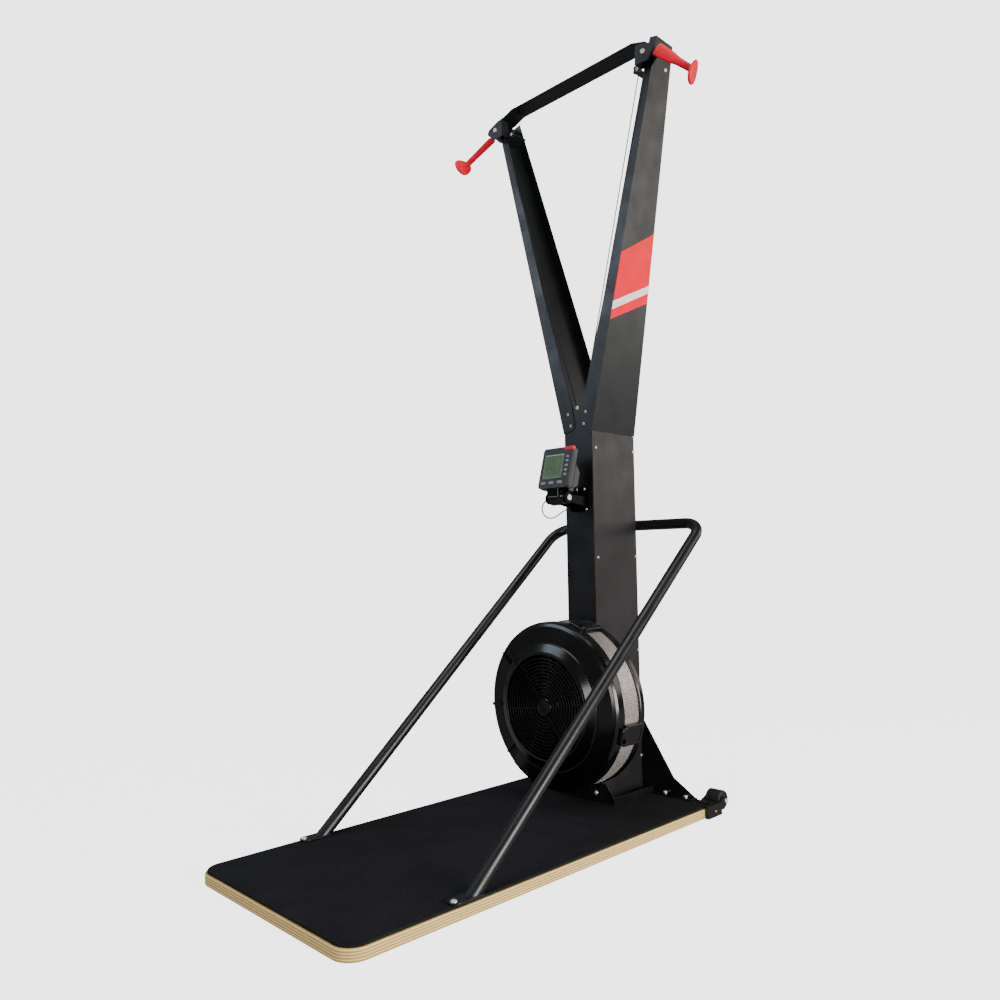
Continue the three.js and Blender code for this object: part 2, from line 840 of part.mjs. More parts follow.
// Cord drums on the shaft, each beside its round spring case
function makeDrums() {
  const half = drumWidth / 2;
  const bore = shaftRadius + seat;
  const drum = solid(turned([
    [bore, -half], [drumFlange, -half], [drumFlange, -half + drumFlangeThick],
    [drumGroove, -half + drumFlangeThick], [drumGroove, half - drumFlangeThick],
    [drumFlange, half - drumFlangeThick], [drumFlange, half], [bore, half],
  ], smallFacets));
  const springCase = solid(ringY(bore, caseRadius, -caseWidth / 2, caseWidth / 2, smallFacets));
  add('cord_drum_left', drum, brightSteel).position.set(0, frontDrumY, hubHeight);
  add('cord_drum_right', drum, brightSteel).position.set(0, rearDrumY, hubHeight);
  add('spring_case_left', springCase, blackPaint).position.set(0, frontCaseY, hubHeight);
  add('spring_case_right', springCase, blackPaint).position.set(0, rearCaseY, hubHeight);
}

// Handles: a lofted oval grip that ends in a leaning egg-shaped stop
function handleBody(fall, ahead, twist) {
  const aim = new THREE.Vector3(Math.cos(fall), 0, -Math.sin(fall)).multiplyScalar(Math.cos(ahead));
  aim.y = -Math.sin(ahead);
  const back = new THREE.Vector3(0, 1, 0).addScaledVector(aim, -aim.y).normalize();
  const up = aim.clone().cross(back);
  const wide = up.clone().multiplyScalar(Math.cos(twist)).addScaledVector(back, Math.sin(twist));
  const thin = aim.clone().cross(wide);
  const frame = new THREE.Matrix4().makeBasis(wide, thin, aim);
  const positions = [];
  const index = [];
  gripPlaceShares.forEach((share, ring) => {
    for (let step = 0; step < smallFacets; step += 1) {
      const turn = 2 * Math.PI * step / smallFacets;
      positions.push(gripHalfWidths[ring] * Math.cos(turn), gripHalfDepths[ring] * Math.sin(turn),
        share * gripLength);
    }
  });
  for (let ring = 0; ring < gripPlaceShares.length - 1; ring += 1) {
    for (let step = 0; step < smallFacets; step += 1) {
      const next = (step + 1) % smallFacets;
      const a = ring * smallFacets + step;
      const b = ring * smallFacets + next;
      index.push(a, b, b + smallFacets, a, b + smallFacets, a + smallFacets);
    }
  }
  const last = (gripPlaceShares.length - 1) * smallFacets;
  for (let step = 1; step < smallFacets - 1; step += 1) {
    index.push(0, step + 1, step);
    index.push(last, last + step, last + step + 1);
  }
  const grip = new THREE.BufferGeometry();
  grip.setAttribute('position', new THREE.Float32BufferAttribute(positions, 3));
  grip.setIndex(index);

  const egg = new THREE.Shape();
  for (let step = 0; step < roundFacets; step += 1) {
    const turn = 2 * Math.PI * step / roundFacets;
    const along = (stopLength / 2 - stopRound) * Math.cos(turn);
    const taper = 1 + stopTaperShare * Math.cos(turn);
    const across = (stopWidth / 2 - stopRound) * Math.sin(turn) * taper;
    if (step === 0) egg.moveTo(along, across);
    else egg.lineTo(along, across);
  }
  egg.closePath();
  const stop = new THREE.ExtrudeGeometry(egg, {
    depth: stopThick - 2 * stopRound,
    bevelEnabled: true,
    bevelThickness: stopRound,
    bevelSize: stopRound,
    bevelSegments: 2,
  });
  stop.translate(stopLength / 2 - stopHeel, 0, stopRound);
  const longWay = new THREE.Vector3(-Math.cos(stopLean), 0, Math.sin(stopLean));
  const normal = new THREE.Vector3(Math.sin(stopLean), 0, Math.cos(stopLean));
  const broad = normal.clone().cross(longWay);
  stop.applyMatrix4(new THREE.Matrix4().makeBasis(longWay, broad, normal));
  stop.translate(0, 0, gripLength - stopRound);
  const body = joined([grip, stop]);
  return geometryOf(body).applyMatrix4(frame);
}

function makeHandles() {
  const right = add('handle_right', handleBody(gripFallRight, gripAheadRight, gripTwistRight), redPlastic);
  right.position.copy(dockRight.dock);
  const left = add('handle_left', mirrored(handleBody(gripFallLeft, gripAheadLeft, gripTwistLeft)), redPlastic);
  left.position.set(-dockLeft.dock.x, dockLeft.dock.y, dockLeft.dock.z);
}

// Front cover: a domed shell with a ring grille, spokes and a window for the damper lever
function sectorShape(inner, outer, start, end) {
  const shape = new THREE.Shape();
  const steps = smallFacets;
  for (let step = 0; step <= steps; step += 1) {
    const turn = start + (end - start) * step / steps;
    const along = outer * Math.cos(turn);
    const up = outer * Math.sin(turn);
    if (step === 0) shape.moveTo(along, up);
    else shape.lineTo(along, up);
  }
  for (let step = steps; step >= 0; step -= 1) {
    const turn = start + (end - start) * step / steps;
    shape.lineTo(inner * Math.cos(turn), inner * Math.sin(turn));
  }
  shape.closePath();
  return shape;
}

function makeFrontCover() {
  const sleeveWall = cageWall;
  const shell = turned([
    [grilleRadius, 0], [coneRadius, coneRise], [faceRadius, faceRise], [shoulderRadius, shoulderRise],
    [cageRadius, rimRise], [cageRadius, frontCoverDepth], [cageRadius - cageWall, frontCoverDepth],
    [cageRadius - cageWall, rimRise + cageWall / 2], [shoulderRadius - cageWall, shoulderRise + cageWall],
    [faceRadius, faceRise + cageWall], [coneRadius, coneRise + cageWall], [sleeveRadius, cageWall * 2],
    [sleeveRadius, sleeveDepth], [sleeveRadius - sleeveWall, sleeveDepth],
    [sleeveRadius - sleeveWall, ringDepth], [grilleRadius, ringDepth],
  ], fineFacets);
  const parts = [shell];
  const pitch = (grilleRadius - grilleHub) / (ringCount + 1);
  for (let ring = 1; ring <= ringCount; ring += 1) {
    const middle = grilleHub + ring * pitch;
    parts.push(ringY(middle - ringWidth / 2, middle + ringWidth / 2, 0, ringDepth, grilleFacets));
  }
  parts.push(rodY(grilleHub, -overrun, ringDepth, 0, 0, smallFacets));
  for (let spoke = 0; spoke < spokeCount; spoke += 1) {
    const bar = block(grilleHub - overrun, grilleRadius + overrun, seat, ringDepth,
      -spokeWidth / 2, spokeWidth / 2);
    parts.push(bar.rotateY(-spokeTurn - 2 * Math.PI * spoke / spokeCount));
  }
  const window = frontPlate(sectorShape(windowInner, cageRadius + overrun, windowStart, windowEnd),
    -overrun, damperPlace + overrun - seat);
  const cover = cut(joined(parts), [window]);
  add('front_cover', cover, glossPlastic).position.set(0, cageFrontY, hubHeight);
}

function makeDamper() {
  const parts = [ringY(damperInner, damperOuter, damperPlace, damperPlace + damperThick, fineFacets)];
  const lever = roundedOutline([
    [leverInner, -leverWidth / 2], [leverOuter, -leverWidth / 2, 2],
    [leverOuter, leverWidth / 2, 2], [leverInner, leverWidth / 2],
  ]);
  parts.push(frontPlate(lever, damperPlace - leverRise, leverRise + damperThick).rotateY(-leverTurn));
  const vents = [];
  for (let vent = 0; vent < ventCount; vent += 1) {
    const turn = -Math.PI / 2 + Math.PI * (vent + 1) / (ventCount + 1);
    const x = ventCircle * Math.cos(turn);
    const z = ventCircle * Math.sin(turn);
    vents.push(rodY(ventRadius, damperPlace - overrun, damperPlace + damperThick + overrun, x, z, pinFacets / 2));
  }
  add('damper_ring', cut(joined(parts), vents), mattPlastic).position.set(0, cageFrontY, hubHeight);
}

function makeBandAndRearCover() {
  const bandStart = frontCoverDepth + seat;
  const bandEnd = frontCoverDepth + bandDepth - seat;
  const bandOuter = cageRadius - bandInset;
  const band = solid(ringY(bandOuter - bandThick, bandOuter, bandStart, bandEnd, fineFacets));
  add('mesh_band', band, meshSteel).position.set(0, cageFrontY, hubHeight);
  const rim = frontCoverDepth + bandDepth;
  const back = rim + rearCoverDepth;
  const rear = turned([
    [cageRadius, rim], [cageRadius, rim + rearRimDepth], [rearFaceRadius, back], [rearHole, back],
    [rearHole, back - cageWall], [rearFaceRadius - cageWall, back - cageWall],
    [cageRadius - cageWall, rim + rearRimDepth - cageWall / 2], [cageRadius - cageWall, rim],
  ], fineFacets);
  add('rear_cover', solid(rear), glossPlastic).position.set(0, cageFrontY, hubHeight);
}

// Rim clips: a saddle over both cover rims and the band
function makeClips() {
  const rim = frontCoverDepth + bandDepth;
  const low = cageRadius + seat;
  const slot = block(-clipSlotWidth / 2, clipSlotWidth / 2, frontCoverDepth - clipOverlap - clipEdge - overrun,
    frontCoverDepth - clipOverlap - clipEdge + clipSlotLength, low + clipHeight - clipSlotDepth,
    low + clipHeight + overrun);
  const clearRadius = low / Math.cos(Math.PI / fineFacets);
  const curved = rodY(clearRadius, frontCoverDepth - 2 * clipOverlap - clipEdge, rim + 2 * clipOverlap, 0, 0, fineFacets);
  const crown = solid(rodY(low + clipHeight - clipFoot / 2, frontCoverDepth - 2 * clipOverlap - clipEdge,
    rim + 2 * clipOverlap, 0, 0, fineFacets));
  const shaped = cut(joined([
    block(-clipWidth / 2, clipWidth / 2, frontCoverDepth - clipOverlap - clipEdge, rim + clipOverlap,
      low - clipFoot * 2, low + clipHeight),
  ]).intersect(crown), [curved, slot]);
  clipTurns.forEach((turn, place) => {
    const clip = add(`rim_clip_${place + 1}`, shaped, glossPlastic);
    clip.rotation.y = Math.PI / 2 - turn;
    clip.position.set(0, cageFrontY, hubHeight);
  });
}

// Rotor: hub, disc and radial blades, fixed to the shaft
function makeRotor() {
  const bore = shaftRadius + seat;
  const discY = rotorPlace + bladeDepth / 2;
  const parts = [
    ringY(bore, rotorHub, rotorPlace, rotorPlace + rotorHubDepth, smallFacets),
    ringY(rotorHub - overrun, rotorDisc, discY, discY + rotorDiscThick, roundFacets),
  ];
  for (let blade = 0; blade < bladeCount; blade += 1) {
    const vane = block(bladeInner, bladeOuter, rotorPlace, rotorPlace + bladeDepth,
      -bladeThick / 2, bladeThick / 2);
    parts.push(vane.rotateY(2 * Math.PI * blade / bladeCount));
  }
  add('flywheel_rotor', joined(parts), brightSteel).position.set(0, cageFrontY, hubHeight);
  const shaftEnd = rearBossY + rearBossDepth + bracketThick + shaftTail;
  const shaft = rodY(shaftRadius, cageFrontY + shaftStart, shaftEnd, 0, hubHeight, smallFacets);
  add('flywheel_shaft', solid(shaft), brightSteel);
}

// Bearing bracket: front plate with a boss, two arms and a rear plate with a boss
function makeBearings() {
  const plateFront = columnFront - seat - bracketThick;
  const coverBack = cageFrontY + frontCoverDepth + bandDepth + rearCoverDepth;
  const rearPlate = rearBossY + rearBossDepth;
  const low = hubHeight - bracketArmHeight / 2;
  const high = hubHeight + bracketArmHeight / 2;
  const frontShape = roundedOutline([
    [-bracketHalf, hubHeight - bracketHalf, pulleyBoss], [bracketHalf, hubHeight - bracketHalf, pulleyBoss],
    [bracketHalf, hubHeight + bracketHalf, pulleyBoss], [-bracketHalf, hubHeight + bracketHalf, pulleyBoss],
  ]);
  const front = joined([
    frontPlate(frontShape, plateFront, bracketThick),
    rodY(bossRadius, coverBack - bracketThick, frontBossEnd, 0, hubHeight, roundFacets),
  ]);
  const bearingFront = frontBossEnd - bearingWidth;
  const holes = [
    rodY(bearingRadius + seat, bearingFront, frontBossEnd + overrun, 0, hubHeight, roundFacets),
    rodY(shaftRadius + runningGap * 2, coverBack - 2 * bracketThick, frontBossEnd, 0, hubHeight, smallFacets),
  ];
  add('bearing_flange', cut(front, holes), blackPaint);
  const rear = joined([
    rodY(bossRadius, rearBossY, rearPlate + bracketThick, 0, hubHeight, roundFacets),
    block(-bracketArmHalf, bracketArmHalf, rearPlate, rearPlate + bracketThick, low, high),
    block(-bracketArmHalf, -bracketArmHalf + bracketArmThick, rearPlate, columnRear - sheet - seat, low, high),
    block(bracketArmHalf - bracketArmThick, bracketArmHalf, rearPlate, columnRear - sheet - seat, low, high),
  ]);
  const rearHoles = [
    rodY(bearingRadius + seat, rearBossY - overrun, rearBossY + bearingWidth, 0, hubHeight, roundFacets),
    rodY(shaftRadius + runningGap * 2, rearBossY, rearPlate + 2 * bracketThick, 0, hubHeight, smallFacets),
  ];
  add('rear_bearing_bracket', cut(rear, rearHoles), blackPaint);
  const bearing = solid(ringY(shaftRadius + seat, bearingRadius, seat, bearingWidth - seat, smallFacets));
  add('bearing_front', bearing, brightSteel).position.set(0, bearingFront, hubHeight);
  add('bearing_rear', bearing, brightSteel).position.set(0, rearBossY, hubHeight);
}

// Foot tray: a base plate under the column with a tall front and two low skirts
function makeTray() {
  const base = deck + seat;
  const front = columnFront - seat - shoeWall;
  const back = front + shoeLength;
  const face = outline([
    [-shoeHalf, base], [shoeHalf, base], [shoeHalf, base + shoeSkirt], [shoeTopHalf, base + shoeTop],
    [-shoeTopHalf, base + shoeTop], [-shoeHalf, base + shoeSkirt],
  ]);
  const tray = joined([
    frontPlate(face, front, shoeWall),
    block(-shoeHalf, shoeHalf, front, back, base, base + shoeWall),
    block(-shoeHalf, -shoeHalf + shoeWall, front, back, base, base + shoeSkirt),
    block(shoeHalf - shoeWall, shoeHalf, front, back, base, base + shoeSkirt),
  ]);
  add('foot_tray', tray, blackPaint);
}

function makeGusset() {
  const base = deck + seat;
  const face = outline([
    [-gussetHalf, base], [gussetHalf, base], [gussetKneeHalf, base + gussetKnee],
    [gussetTopHalf, gussetTop], [-gussetTopHalf, gussetTop], [-gussetKneeHalf, base + gussetKnee],
  ]);
  const parts = [frontPlate(face, columnRear + seat, gussetThick)];
  for (const side of [-1, 1]) {
    const near = Math.min(side * gussetToeInner, side * gussetHalf);
    const far = Math.max(side * gussetToeInner, side * gussetHalf);
    parts.push(block(near, far, columnRear - gussetToe, columnRear + seat + gussetThick, base, base + gussetThick));
  }
  add('rear_gusset', joined(parts), blackPaint);
}

// Support hoop: one bent tube from pad to pad, passing behind the column
function hoopRight() {
  const backY = columnRear + hoopRadius + seat;
  const foot = new THREE.Vector3(hoopHalf, hoopFootY, deck);
  const corner = new THREE.Vector3(hoopHalf, backY, hoopHeight);
  const centre = new THREE.Vector3(0, backY, hoopHeight);
  const down = foot.clone().sub(corner).normalize();
  const inward = centre.clone().sub(corner).normalize();
  const halfAngle = down.angleTo(inward) / 2;
  const run = hoopBend / Math.tan(halfAngle);
  const bendStart = corner.clone().addScaledVector(down, run);
  const bendEnd = corner.clone().addScaledVector(inward, run);
  const heart = corner.clone().addScaledVector(down.clone().add(inward).normalize(), hoopBend / Math.sin(halfAngle));
  return { foot, down, bend: arcPoints(heart, bendStart, bendEnd, 8) };
}

function makeHoop() {
  const { foot, down, bend } = hoopRight();
  const beyond = foot.clone().addScaledVector(down, hoopCurl);
  const right = [beyond, ...bend];
  const left = right.map((point) => new THREE.Vector3(-point.x, point.y, point.z)).reverse();
  const tube = solid(sweep([...right, ...left], hoopRadius, smallFacets));
  const padLow = deck + seat;
  const below = block(-boardWidth, boardWidth, -boardLength, boardLength, -boardLength, padLow);
  const trimmed = cut(tube, [below]);
  const pads = [-1, 1].map((side) => floorPlate(roundedRect(padWidth, padLength, padWidth / 2 - overrun), padLow, padThick)
    .translate(side * hoopHalf, hoopFootY + padBack - padLength / 2, 0));
  const hoop = pads.map(solid).reduce((whole, pad) => whole.add(pad), trimmed);
  add('support_hoop', hoop, blackPaint);
  const outer = hoopRadius + seat + saddleThick;
  const middle = columnRear + hoopRadius + seat;
  const strap = new THREE.Shape();
  const ears = hoopHeight;
  strap.moveTo(columnRear + seat, ears + hoopRadius + saddleEar);
  strap.lineTo(columnRear + seat + saddleThick, ears + hoopRadius + saddleEar);
  strap.lineTo(columnRear + seat + saddleThick, ears + outer);
  for (let step = 0; step <= smallFacets / 2; step += 1) {
    const turn = Math.PI / 2 - Math.PI * step / (smallFacets / 2);
    strap.lineTo(middle + outer * Math.cos(turn), ears + outer * Math.sin(turn));
  }
  strap.lineTo(columnRear + seat + saddleThick, ears - outer);
  strap.lineTo(columnRear + seat + saddleThick, ears - hoopRadius - saddleEar);
  strap.lineTo(columnRear + seat, ears - hoopRadius - saddleEar);
  strap.closePath();
  const bore = rodX(hoopRadius + seat, -saddleWidth, saddleWidth, middle, ears, smallFacets);
  const mouth = block(-saddleWidth, saddleWidth, columnRear - overrun, middle, ears - hoopRadius - seat,
    ears + hoopRadius + seat);
  const saddle = cut(solid(sidePlate(strap, -saddleWidth / 2, saddleWidth)), [bore, mouth]);
  add('hoop_saddle', saddle, blackPaint);
}

// Monitor: drawn in its own frame with the face in x and z, then tilted about its low edge
function addMonitor(name, body, material) {
  const mesh = add(name, body, material);
  mesh.rotation.x = -monitorTilt;
  mesh.position.set(0, monitorLowY, monitorLowZ);
  return mesh;
}

function onFace(acrossShare, downShare) {
  return [(acrossShare - 0.5) * 2 * monitorHalf, (1 - downShare) * monitorTall];
}

function keyShape(x, z, width, tall) {
  return roundedOutline([
    [x - width / 2, z - tall / 2, tall / 2 - keyGap], [x + width / 2, z - tall / 2, tall / 2 - keyGap],
    [x + width / 2, z + tall / 2, tall / 2 - keyGap], [x - width / 2, z + tall / 2, tall / 2 - keyGap],
  ]);
}

function keyList() {
  const side = sideKeyShares.map((share, place) => {
    const [x, z] = onFace(sideKeyPlaceShare, share);
    return { name: `side_key_${place + 1}`, x, z, width: sideKeyWidth, tall: sideKeyTall };
  });
  const low = lowKeyShares.map((share, place) => {
    const [x, z] = onFace(share, lowKeyPlaceShare);
    return { name: `low_key_${place + 1}`, x, z, width: lowKeyWidth, tall: lowKeyTall };
  });
  return [...side, ...low];
}

function makeMonitor() {
  const faceShape = roundedOutline([
    [-monitorHalf, 0, monitorCorner], [monitorHalf, 0, monitorCorner],
    [monitorHalf, monitorTall, monitorCorner], [-monitorHalf, monitorTall, monitorCorner],
  ]);
  const [screenLeft, screenTop] = onFace(screenShares.left, screenShares.top);
  const [screenRight, screenLow] = onFace(screenShares.right, screenShares.low);
  const wells = keyList().map((key) => frontPlate(
    keyShape(key.x, key.z, key.width + 2 * keyGap, key.tall + 2 * keyGap), -overrun, overrun + keyDeep + keyStand));
  const screenWell = block(screenLeft, screenRight, -overrun, screenDeep + seat, screenLow, screenTop);
  const tabWell = block(monitorHalf - tabWidth, monitorHalf + overrun, -overrun, bezelThick + overrun,
    monitorTall - tabTall, monitorTall + overrun);
  const bezel = cut(solid(frontPlate(faceShape, 0, bezelThick)), [...wells, screenWell, tabWell]);
  addMonitor('monitor_bezel', bezel, monitorPlastic);
  const glass = block(screenLeft + seat, screenRight - seat, seat, screenDeep, screenLow + seat, screenTop - seat);
  addMonitor('monitor_screen', solid(glass), screenGlass);
  const tab = block(monitorHalf - tabWidth + seat, monitorHalf + tabProud, -tabProud, bezelThick,
    monitorTall - tabTall + seat, monitorTall + tabProud);
  addMonitor('monitor_tab', solid(tab), redPlastic);
  for (const key of keyList()) {
    const cap = frontPlate(keyShape(key.x, key.z, key.width, key.tall), -keyStand, keyStand + keyDeep);
    addMonitor(key.name, solid(cap), monitorGrey);
  }

  const pivot = new THREE.Vector3(0, pivotY - monitorLowY, pivotZ - monitorLowZ)
    .applyAxisAngle(new THREE.Vector3(1, 0, 0), monitorTilt);
  const back = bezelThick + seat;
  const shellShape = roundedOutline([
    [-monitorHalf, 0, monitorCorner], [monitorHalf, 0, monitorCorner],
    [monitorHalf, monitorTall, monitorCorner], [-monitorHalf, monitorTall, monitorCorner],
  ]);
  const packSide = outline([
    [monitorThick - overrun, 0], [monitorThick + packThick, 0],
    [monitorThick + packThick, packTall - packSlope], [monitorThick, packTall], [monitorThick - overrun, packTall],
  ]);
  const neckSide = outline([
    [back, bezelThick], [monitorThick + packThick, bezelThick],
    [pivot.y + pivotRadius - overrun, pivot.z], [pivot.y - pivotRadius + overrun, pivot.z],
  ]);
  const body = joined([
    frontPlate(shellShape, back, monitorThick - back),
    sidePlate(packSide, -packHalf, 2 * packHalf),
    sidePlate(neckSide, -neckHalf, 2 * neckHalf),
    rodX(pivotRadius, -pivotHalf, pivotHalf, pivot.y, pivot.z, smallFacets),
  ]);
  const bore = rodX(pivotPin + seat, -2 * pivotHalf, 2 * pivotHalf, pivot.y, pivot.z, pinFacets);
  addMonitor('monitor_back', cut(body, [bore]), monitorGrey);
}

// Monitor bracket: a wall plate with two ears round the hinge pin
function makeMonitorBracket() {
  const plate = roundedOutline([
    [-wallPlateHalf, wallPlateLow, wallPlateRound], [wallPlateHalf, wallPlateLow, wallPlateRound],
    [wallPlateHalf, wallPlateTop, wallPlateRound], [-wallPlateHalf, wallPlateTop, wallPlateRound],
  ]);
  const plateFront = columnFront - seat - wallPlateThick;
  const parts = [frontPlate(plate, plateFront, wallPlateThick)];
  const inner = pivotHalf + earGap;
  for (const side of [-1, 1]) {
    const near = side > 0 ? inner : -inner - earThick;
    parts.push(rodX(pivotRadius, near, near + earThick, pivotY, pivotZ, smallFacets));
    const stay = outline([
      [pivotY, pivotZ - stayDrop], [plateFront + overrun, pivotZ - stayTall - stayDrop],
      [plateFront + overrun, pivotZ + stayTall - stayDrop], [pivotY, pivotZ + stayDrop],
    ]);
    parts.push(sidePlate(stay, side > 0 ? inner : -inner - earThick / 2, earThick / 2));
  }
  const bore = rodX(pivotPin + seat, -2 * pivotHalf, 2 * pivotHalf, pivotY, pivotZ, pinFacets);
  add('monitor_bracket', cut(joined(parts), [bore]), blackPaint);
  const pinEnd = inner + earThick + seat;
  const pin = joined([
    rodX(pivotPin, -pinEnd, pinEnd, pivotY, pivotZ, pinFacets),
    rodX(pivotPin * 1.7, pinEnd, pinEnd + pinHead, pivotY, pivotZ, pinFacets),
    rodX(pivotPin * 1.7, -pinEnd - pinHead, -pinEnd, pivotY, pivotZ, pinFacets),
  ]);
  add('monitor_hinge_pin', pin, brightSteel);
}

// Monitor lead: its route is a list of places chosen by hand
const leadRoute = [
  [-25, -6.5, 886], [-25.5, -15, 884], [-27.5, -27, 876], [-33, -41, 868], [-36, -55, 859],
  [-39, -69, 852], [-42, -83, 849], [-45, -96, 851], [-47, -106, 858], [-48, -112, 868],
  [-48, -113, 879], [-46.5, -110, 889], [-44.5, -105, 896.5], [-43, -100, 901],
];

function makeLead() {
  const places = leadRoute.map(([x, y, z]) => new THREE.Vector3(x, columnFront + y, z));
  const points = new THREE.CatmullRomCurve3(places).getSpacedPoints(leadSteps);
  add('monitor_lead', solid(sweep(points, leadWidth / 2, cordFacets)), cordFibre);
}

// Transport rollers behind the board on corner brackets
function makeRollers() {
  const rollerY = boardRear + rollerBehind;
  const half = rollerWidth / 2;
  const roller = solid(turned([
    [axleRadius + seat, -half], [rollerRadius - rollerRound, -half], [rollerRadius, -half + rollerRound],
    [rollerRadius, half - rollerRound], [rollerRadius - rollerRound, half], [axleRadius + seat, half],
  ], roundFacets));
  const outerX = boardWidth / 2 + seat;
  const blockEnd = outerX + blockOut;
  const start = boardRear - blockLength;
  const armX = rollerX + half + runningGap;
  const armIn = rollerX - half - runningGap;
  const top = deck + seat;
  const cheek = roundedOutline([
    [boardRear + seat, deck - rollerArmTall], [rollerY + overrun, rollerHeight - rollerArmTall / 2, rollerRound],
    [rollerY + rollerArmTall / 2, rollerHeight, rollerRound * 2],
    [rollerY, rollerHeight + rollerArmTall / 2, rollerRound * 2], [boardRear + seat, deck],
  ]);
  const bracket = joined([
    block(outerX, blockEnd, start, boardRear + seat + blockWall, seat, top + topPlateThick),
    block(armIn - rollerArm, blockEnd, boardRear + seat, boardRear + seat + blockWall / 2, seat,
      top + topPlateThick),
    block(boardWidth / 2 - topPlateIn, blockEnd, boardRear - blockLength / 2, boardRear + seat + blockWall / 2,
      top, top + topPlateThick),
    sidePlate(cheek, armX, rollerArm),
    sidePlate(cheek, armIn - rollerArm, rollerArm),
    rodX(axleRadius, armIn - rollerArm, armX + rollerArm, rollerY, rollerHeight),
    rodX(axleHead, armX + rollerArm - overrun, armX + rollerArm + overrun, rollerY, rollerHeight),
  ]);
  add('roller_bracket_right', bracket, mattPlastic);
  add('roller_bracket_left', mirrored(bracket), mattPlastic);
  for (const [word, side] of [['right', 1], ['left', -1]]) {
    const wheel = add(`roller_${word}`, roller, mattPlastic);
    wheel.rotation.z = Math.PI / 2;
    wheel.position.set(side * rollerX, rollerY, rollerHeight);
  }
}

makeBoard();
makeColumnFront();
makeColumnRear();
makeSidePanels();
makeArms();
makeCrossbar();
makeHousings();
makeCords();
makePulleys();
makeDrums();
makeHandles();
makeFrontCover();
makeDamper();
makeBandAndRearCover();
makeClips();
makeRotor();
makeBearings();
makeTray();
makeGusset();
makeHoop();
makeMonitor();
makeMonitorBracket();
makeLead();
makeRollers();

export default machine;
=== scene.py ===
import math
from contextlib import contextmanager

import bmesh
import bpy
from mathutils import Matrix, Vector
from mathutils.bvhtree import BVHTree


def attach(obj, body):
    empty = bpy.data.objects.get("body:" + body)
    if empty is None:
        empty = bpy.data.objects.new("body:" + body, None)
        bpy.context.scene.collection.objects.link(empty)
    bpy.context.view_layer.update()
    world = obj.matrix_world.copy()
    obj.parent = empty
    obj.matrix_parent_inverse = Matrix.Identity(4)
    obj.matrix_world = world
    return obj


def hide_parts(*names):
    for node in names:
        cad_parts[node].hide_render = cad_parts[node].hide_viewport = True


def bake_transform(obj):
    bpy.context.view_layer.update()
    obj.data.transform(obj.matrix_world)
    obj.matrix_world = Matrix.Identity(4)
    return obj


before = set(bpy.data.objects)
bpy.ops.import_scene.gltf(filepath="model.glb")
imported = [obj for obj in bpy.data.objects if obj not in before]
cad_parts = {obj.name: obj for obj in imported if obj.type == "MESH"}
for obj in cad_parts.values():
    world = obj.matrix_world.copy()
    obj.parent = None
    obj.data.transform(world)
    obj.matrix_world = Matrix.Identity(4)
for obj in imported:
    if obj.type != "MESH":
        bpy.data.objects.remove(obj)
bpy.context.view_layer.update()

MM = 0.001


# Studio: a plain pale paper floor, lit from below as a light table is, runs on
# into a pale wall. Large soft lamps stand at the right, the rear and the front.
def linear(hex_colour):
    """An sRGB hex value as linear red, green, blue and alpha."""
    channels = [int(hex_colour[i:i + 2], 16) / 255 for i in (1, 3, 5)]
    return [c / 12.92 if c <= 0.04045 else ((c + 0.055) / 1.055) ** 2.4 for c in channels] + [1.0]


def fill(node, inputs):
    """Fills a node's inputs or links them; another node gives its first output that is in use."""
    for socket, value in inputs.items():
        if isinstance(value, bpy.types.Node):
            value = next(output for output in value.outputs if output.enabled)
        if isinstance(value, bpy.types.NodeSocket):
            node.id_data.links.new(value, node.inputs[socket])
        else:
            node.inputs[socket].default_value = value


def add_node(tree, kind, inputs=None, **settings):
    """Adds a node, sets its properties and fills its inputs."""
    node = tree.nodes.new(kind)
    for name, value in settings.items():
        setattr(node, name, value)
    fill(node, inputs or {})
    return node


def start_material(name, colour, roughness, **values):
    """A named material and its shader, whose own sockets take the values."""
    sockets = {"metallic": "Metallic", "ior": "IOR", "specular": "Specular IOR Level",
               "coat": "Coat Weight", "coat_roughness": "Coat Roughness"}
    material = bpy.data.materials.new(name)
    material.use_nodes = True
    tree = material.node_tree
    tree.nodes.clear()
    shader = add_node(tree, "ShaderNodeBsdfPrincipled", {sockets[key]: value for key, value in values.items()})
    fill(shader, {"Base Color": linear(colour), "Roughness": roughness})
    add_node(tree, "ShaderNodeOutputMaterial", {"Surface": shader})
    return material, tree, shader


@contextmanager
def reworked(mesh, result=None):
    """A working copy of a mesh, written back to it or to the result."""
    work = bmesh.new()
    work.from_mesh(mesh)
    yield work
    work.to_mesh(result or mesh)
    work.free()


def kept_result(piece):
    """Turns a piece's modifiers into its plain mesh."""
    view_graph = bpy.context.evaluated_depsgraph_get()
    result = bpy.data.meshes.new_from_object(piece.evaluated_get(view_graph), depsgraph=view_graph)
    piece.modifiers.clear()
    piece.data = result
    return result


def even_normals(piece, smooth_angle=35):
    """Smooths up to an angle and leaves the flat beside a rounded edge flat."""
    mesh = piece.data
    if "custom_normal" in mesh.attributes:
        mesh.attributes.remove(mesh.attributes["custom_normal"])
    mesh.polygons.foreach_set("use_smooth", [True] * len(mesh.polygons))
    mesh.set_sharp_from_angle(angle=math.radians(smooth_angle))
    weigh = piece.modifiers.new("weigh", "WEIGHTED_NORMAL")
    weigh.keep_sharp = True
    weigh.weight = 80
    kept_result(piece)
    return piece


